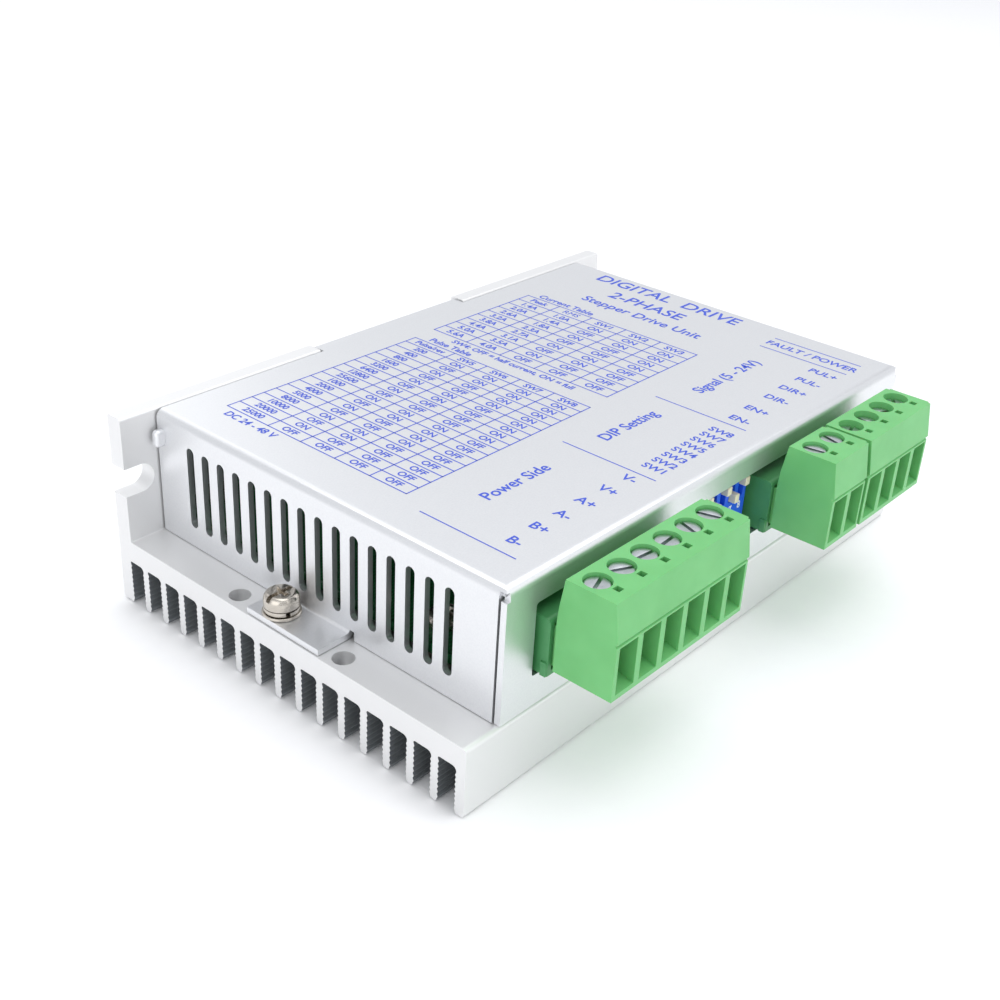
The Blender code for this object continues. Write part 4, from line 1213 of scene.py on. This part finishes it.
def copied(obj, name, place, turn):
    """A copy of a piece drawn at the corner, turned about Z and moved to its place."""
    twin = bpy.data.objects.new(name, obj.data.copy())
    bpy.context.scene.collection.objects.link(twin)
    spin = Matrix.Rotation(radians(turn), 4, "Z")
    there = Matrix.Translation(CORNER + Vector(place) / 1000)
    twin.data.transform(there @ spin @ Matrix.Translation(-CORNER))
    return twin


# Bright zinc over steel: bluish white, finely brushed by the barrel.
zinc = mottled(
    "bright_zinc_plate", {"Metallic": 1.0}, "#b3b8bd", "#d5d9dc", 0.9, 0.3, 0.12, 0.005
)

profile = [(0, -CLAMP_LENGTH), (CLAMP_RADIUS - 0.3, -CLAMP_LENGTH)]
profile += thread(CLAMP_RADIUS, 0.3 - CLAMP_LENGTH, -CLAMP_HEAD_HEIGHT - 0.4, CLAMP_PITCH, 0.2)
profile += [(CLAMP_RADIUS - 0.1, -CLAMP_HEAD_HEIGHT - 0.3), (CLAMP_RADIUS, -CLAMP_HEAD_HEIGHT)]
profile += [(CLAMP_HEAD - 0.1, -CLAMP_HEAD_HEIGHT), (CLAMP_HEAD, 0.1 - CLAMP_HEAD_HEIGHT)]
profile += [(CLAMP_HEAD - 0.22 + a, b - 0.22) for a, b in arc(0, 0, 0.22, 0, 90, 4)]
pattern = drawn("clamp_screw_pattern", turned([*profile, (0, 0)], 40, CLAMP_PITCH), zinc)
slot = block((-CLAMP_HEAD - 1, -SLOT_HALF, -SLOT_DEEP), (CLAMP_HEAD + 1, SLOT_HALF, 1))
eased(carved(pattern, drawn("slot", slot)), 0.05)
all_ways = [f"{node}_{i + 1}" for node, ways in WAYS.items() for i in range(ways)]
for way, angle in zip(all_ways, SLOT_ANGLES):
    body = f"clamp_screw_{way}"
    centre = middle(body)
    screw = copied(pattern, f"{body}_made", (centre.x, centre.y, extent(body)[1].z), angle)
    fitted(screw, body, "plated_steel", body)
bpy.data.objects.remove(pattern)

# ---------------------------------------------------------------- wire cages
# A tinned brass box in each way, open to the wire entry. Its thick roof is tapped for the
# clamp screw, which lifts the box and pinches the wire under the contact.

CAGE_SIDE = 0.4
CAGE_ROOF = 1.2

for way in all_ways:
    body = f"wire_cage_{way}"
    low, high = extent(body)
    outline = rounded(low.x, low.z, high.x, high.z, 0.35)
    cage = drawn(f"{body}_made", prism(outline, low.y, high.y, "Y"), brass)
    side = CAGE_SIDE
    outline = rounded(low.x + side, low.z + side, high.x - side, high.z - CAGE_ROOF, 0.2)
    window = drawn("window", prism(outline, low.y - 1, high.y + 1, "Y"))
    centre = middle(f"clamp_screw_{way}")
    tap = circle(centre.x, centre.y, CLAMP_RADIUS + 0.1, 32)
    tap = prism(tap, high.z - 2, high.z + 1, "Z")
    fitted(eased(carved(cage, window, drawn("tap", tap)), 0.06), body, "tinned_brass", body)

# ---------------------------------------------------------------- slide switch
# An eight-way slide switch in blue polyester, soldered upright behind the cover's front
# opening. Cream knobs slide in its windows, and its numbers are printed in white.

SWITCH_PITCH = 2.54
WINDOW_HALF = 0.75
WINDOW_HEIGHT = 4.0
WINDOW_DEPTH = 1.4
WINDOW_MIDDLE = 25.4
NUMBER_CAP = 1.25
NUMBER_Z, ON_Z = 21.9, 28.35
ON_SHIFT = 0.6

# Glossy blue polyester, with soft flow marks.
switch_blue = mottled("blue_polyester", {}, "#1a55dc", "#2a68ee", 3.0, 0.32, 0.25, 0.004)
cream = mottled("cream_acetal", {}, "#e2d9bb", "#efe7cd", 1.0, 0.4, 0.2, 0.004)
white_ink = mottled("white_marking_ink", {}, "#e8ebee", "#f6f7f8", 0.6, 0.5, 0.2, 0.002)

low, high = extent("switch_body")
switch = drawn("switch_housing", block(low, high), switch_blue)
first_knob = middle("switch_knob_1").x
window = (
    (first_knob - WINDOW_HALF, low.y - OVERCUT, WINDOW_MIDDLE - WINDOW_HEIGHT / 2),
    (first_knob + WINDOW_HALF, low.y + WINDOW_DEPTH, WINDOW_MIDDLE + WINDOW_HEIGHT / 2),
)
windows = in_row(drawn("windows", block(*window)), SWITCHES, (SWITCH_PITCH, 0, 0))
carved(switch, windows)
fitted(eased(switch, 0.12), "module", "switch_blue", "switch_body")
marks = []
texts = [(str(i + 1), first_knob + SWITCH_PITCH * i, NUMBER_Z) for i in range(SWITCHES)]
for text, x, z in [*texts, ("ON", first_knob + ON_SHIFT, ON_Z)]:
    mark = moved(letters(text, NUMBER_CAP, 0, 0, 0), (0, 0, -INK_BOTTOM - INK_THICK / 2))
    marks.append(moved(mark, (x, low.y - 0.005 - INK_THICK / 2, z), (90, "X")))
fitted(drawn("switch_numbers", joined(marks), white_ink), "module", "knob_cream")
for i in range(SWITCHES):
    body = f"switch_knob_{i + 1}"
    knob = drawn(f"{body}_made", block(*extent(body)), cream)
    knob = eased(knob, 0.18, segments=3)
    fitted(knob, body, "knob_cream", body)

# ---------------------------------------------------------------- lights
# Two three-millimetre indicator lights, green for power and red for a fault, look out through
# holes at the far end of the cover's front.

LENS_RADIUS = 1.5
LENS_RIM = 1.8
LENS_LENGTH = 4.6

for node, slot, dark, light in (
    ("power_light", "lens_green", "#2fae49", "#45c75f"),
    ("alarm_light", "lens_red", "#c22c20", "#d8402f"),
):
    # Tinted epoxy, clear enough to glow at its edges.
    sockets = {"Transmission Weight": 0.45, "IOR": 1.53}
    lens = mottled(f"{node}_epoxy", sockets, dark, light, 1.5, 0.16, 0.3, 0.001)
    low, centre = extent(node)[0], middle(node)
    rim = 1 - LENS_LENGTH
    profile = [(0, -LENS_LENGTH), (LENS_RIM, -LENS_LENGTH), (LENS_RIM, rim), (LENS_RADIUS, rim)]
    profile += [*arc(0, 0, LENS_RADIUS, 0, 90, 10)[:-1], (0, LENS_RADIUS)]
    place = (centre.x, low.y + LENS_RADIUS, centre.z)
    lamp = drawn(f"{node}_lens", moved(turned(profile, 40), place, (90, "X")), lens)
    fitted(eased(lamp, 0.05), "module", slot, node)
